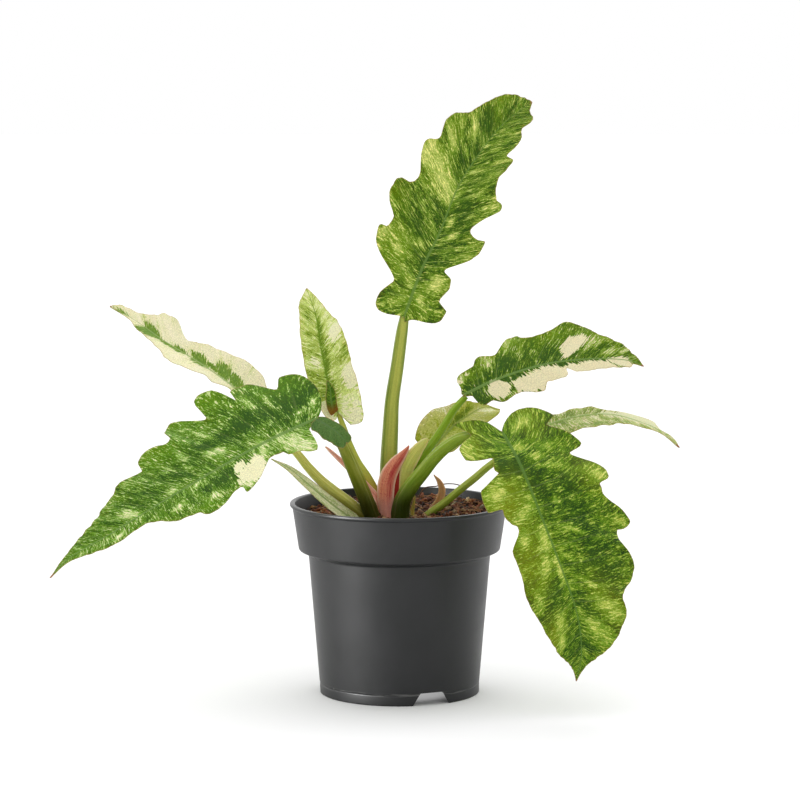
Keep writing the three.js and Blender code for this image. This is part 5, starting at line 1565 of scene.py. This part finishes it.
def area_light(name, shape, size, power, place):
    data = bpy.data.lights.new(name, "AREA")
    data.shape = shape
    data.size, data.size_y = size
    data.energy = power
    lamp = bpy.data.objects.new(name, data)
    lamp.location = place
    bpy.context.scene.collection.objects.link(lamp)
    return lamp


def left_panel(pot):
    """A low softbox left of the camera's view, linked so that only the pot mirrors it."""
    lamp = area_light("left_panel", "RECTANGLE", SOFTBOX_SIZE, SOFTBOX_POWER, SOFTBOX_PLACE)
    lamp.rotation_euler = (math.radians(90), 0, math.radians(-90))
    lamp.visible_diffuse = False
    lit = bpy.data.collections.new("lit_by_left_panel")
    lit.objects.link(pot)
    lamp.light_linking.receiver_collection = lit


def notch_light():
    """A faint light under the pot's raised floor, as the photo shows light floor through the notch."""
    place = (POT_AXIS + (0, 0, FLOOR_UNDERSIDE_Z - 0.4)) * MM
    size = (NOTCH_LIGHT_SIZE, NOTCH_LIGHT_SIZE)
    lamp = area_light("notch_light", "DISK", size, NOTCH_LIGHT_POWER, place)
    lamp.visible_camera = False


def build_floor():
    """A white table top, level with the pot's foot."""
    mesh = bpy.data.meshes.new("floor")
    corners = [(x * FLOOR_REACH, y * FLOOR_REACH, 0) for x, y in ((-1, -1), (1, -1), (1, 1), (-1, 1))]
    mesh.from_pydata(corners, [], [(0, 1, 2, 3)])
    floor = bpy.data.objects.new("floor", mesh)
    bpy.context.scene.collection.objects.link(floor)
    material, tree, skin = new_material("white_table", Specular_IOR_Level=0.0, Roughness=0.9)
    tone = band(tree, noise(tree, object_place(tree), 3.0, 2.0), 0.3, 0.7)
    white = mixed(tree, tone, (0.93, 0.93, 0.93, 1), (0.95, 0.95, 0.95, 1))
    tree.links.new(white, skin.inputs["Base Color"])
    mesh.materials.append(material)


def build_room():
    """A white room for the camera, whose ceiling and back light the plant more than its sides do."""
    world = bpy.data.worlds.new("white_room")
    bpy.context.scene.world = world
    world.use_nodes = True
    tree = world.node_tree
    room = tree.nodes["Background"]
    room.inputs["Color"].default_value = (1, 1, 1, 1)
    way = split(tree, put(tree, "ShaderNodeTexCoord").outputs["Generated"])
    light = scaled(tree, band(tree, way[2], *CEILING_BAND), CEILING_LIGHT, ROOM_LIGHT)
    light = scaled(tree, band(tree, way[1], *BACK_BAND), BACK_LIGHT, light)
    seen = put(tree, "ShaderNodeLightPath").outputs["Is Camera Ray"]
    power = scaled(tree, light, calc(tree, "SUBTRACT", 1.0, seen), seen)
    tree.links.new(power, room.inputs["Strength"])


def build_camera():
    scene = bpy.context.scene
    data = bpy.data.cameras.new("camera")
    data.sensor_width = CAMERA_SENSOR
    data.lens = CAMERA_LENS
    data.clip_end = CAMERA_REACH
    camera = bpy.data.objects.new("camera", data)
    camera.location = CAMERA_PLACE
    camera.rotation_euler = (math.radians(90 - CAMERA_PITCH), 0, 0)
    scene.collection.objects.link(camera)
    scene.camera = camera
    scene.view_settings.view_transform = "Standard"


VARIEGATION = variegation_group()
FIBRE_LINES = fibre_lines_group()
PLASTIC_WEAR = plastic_wear_group()
STALK_TREE = stalk_tree()
LITTER_TREE = litter_tree()
FIBRE_TREE = fibre_tree()

build_floor()
build_room()
build_camera()
left_panel(build_pot())
notch_light()
build_mix()
build_crown()
build_stalks()
build_scales()
build_leaves()
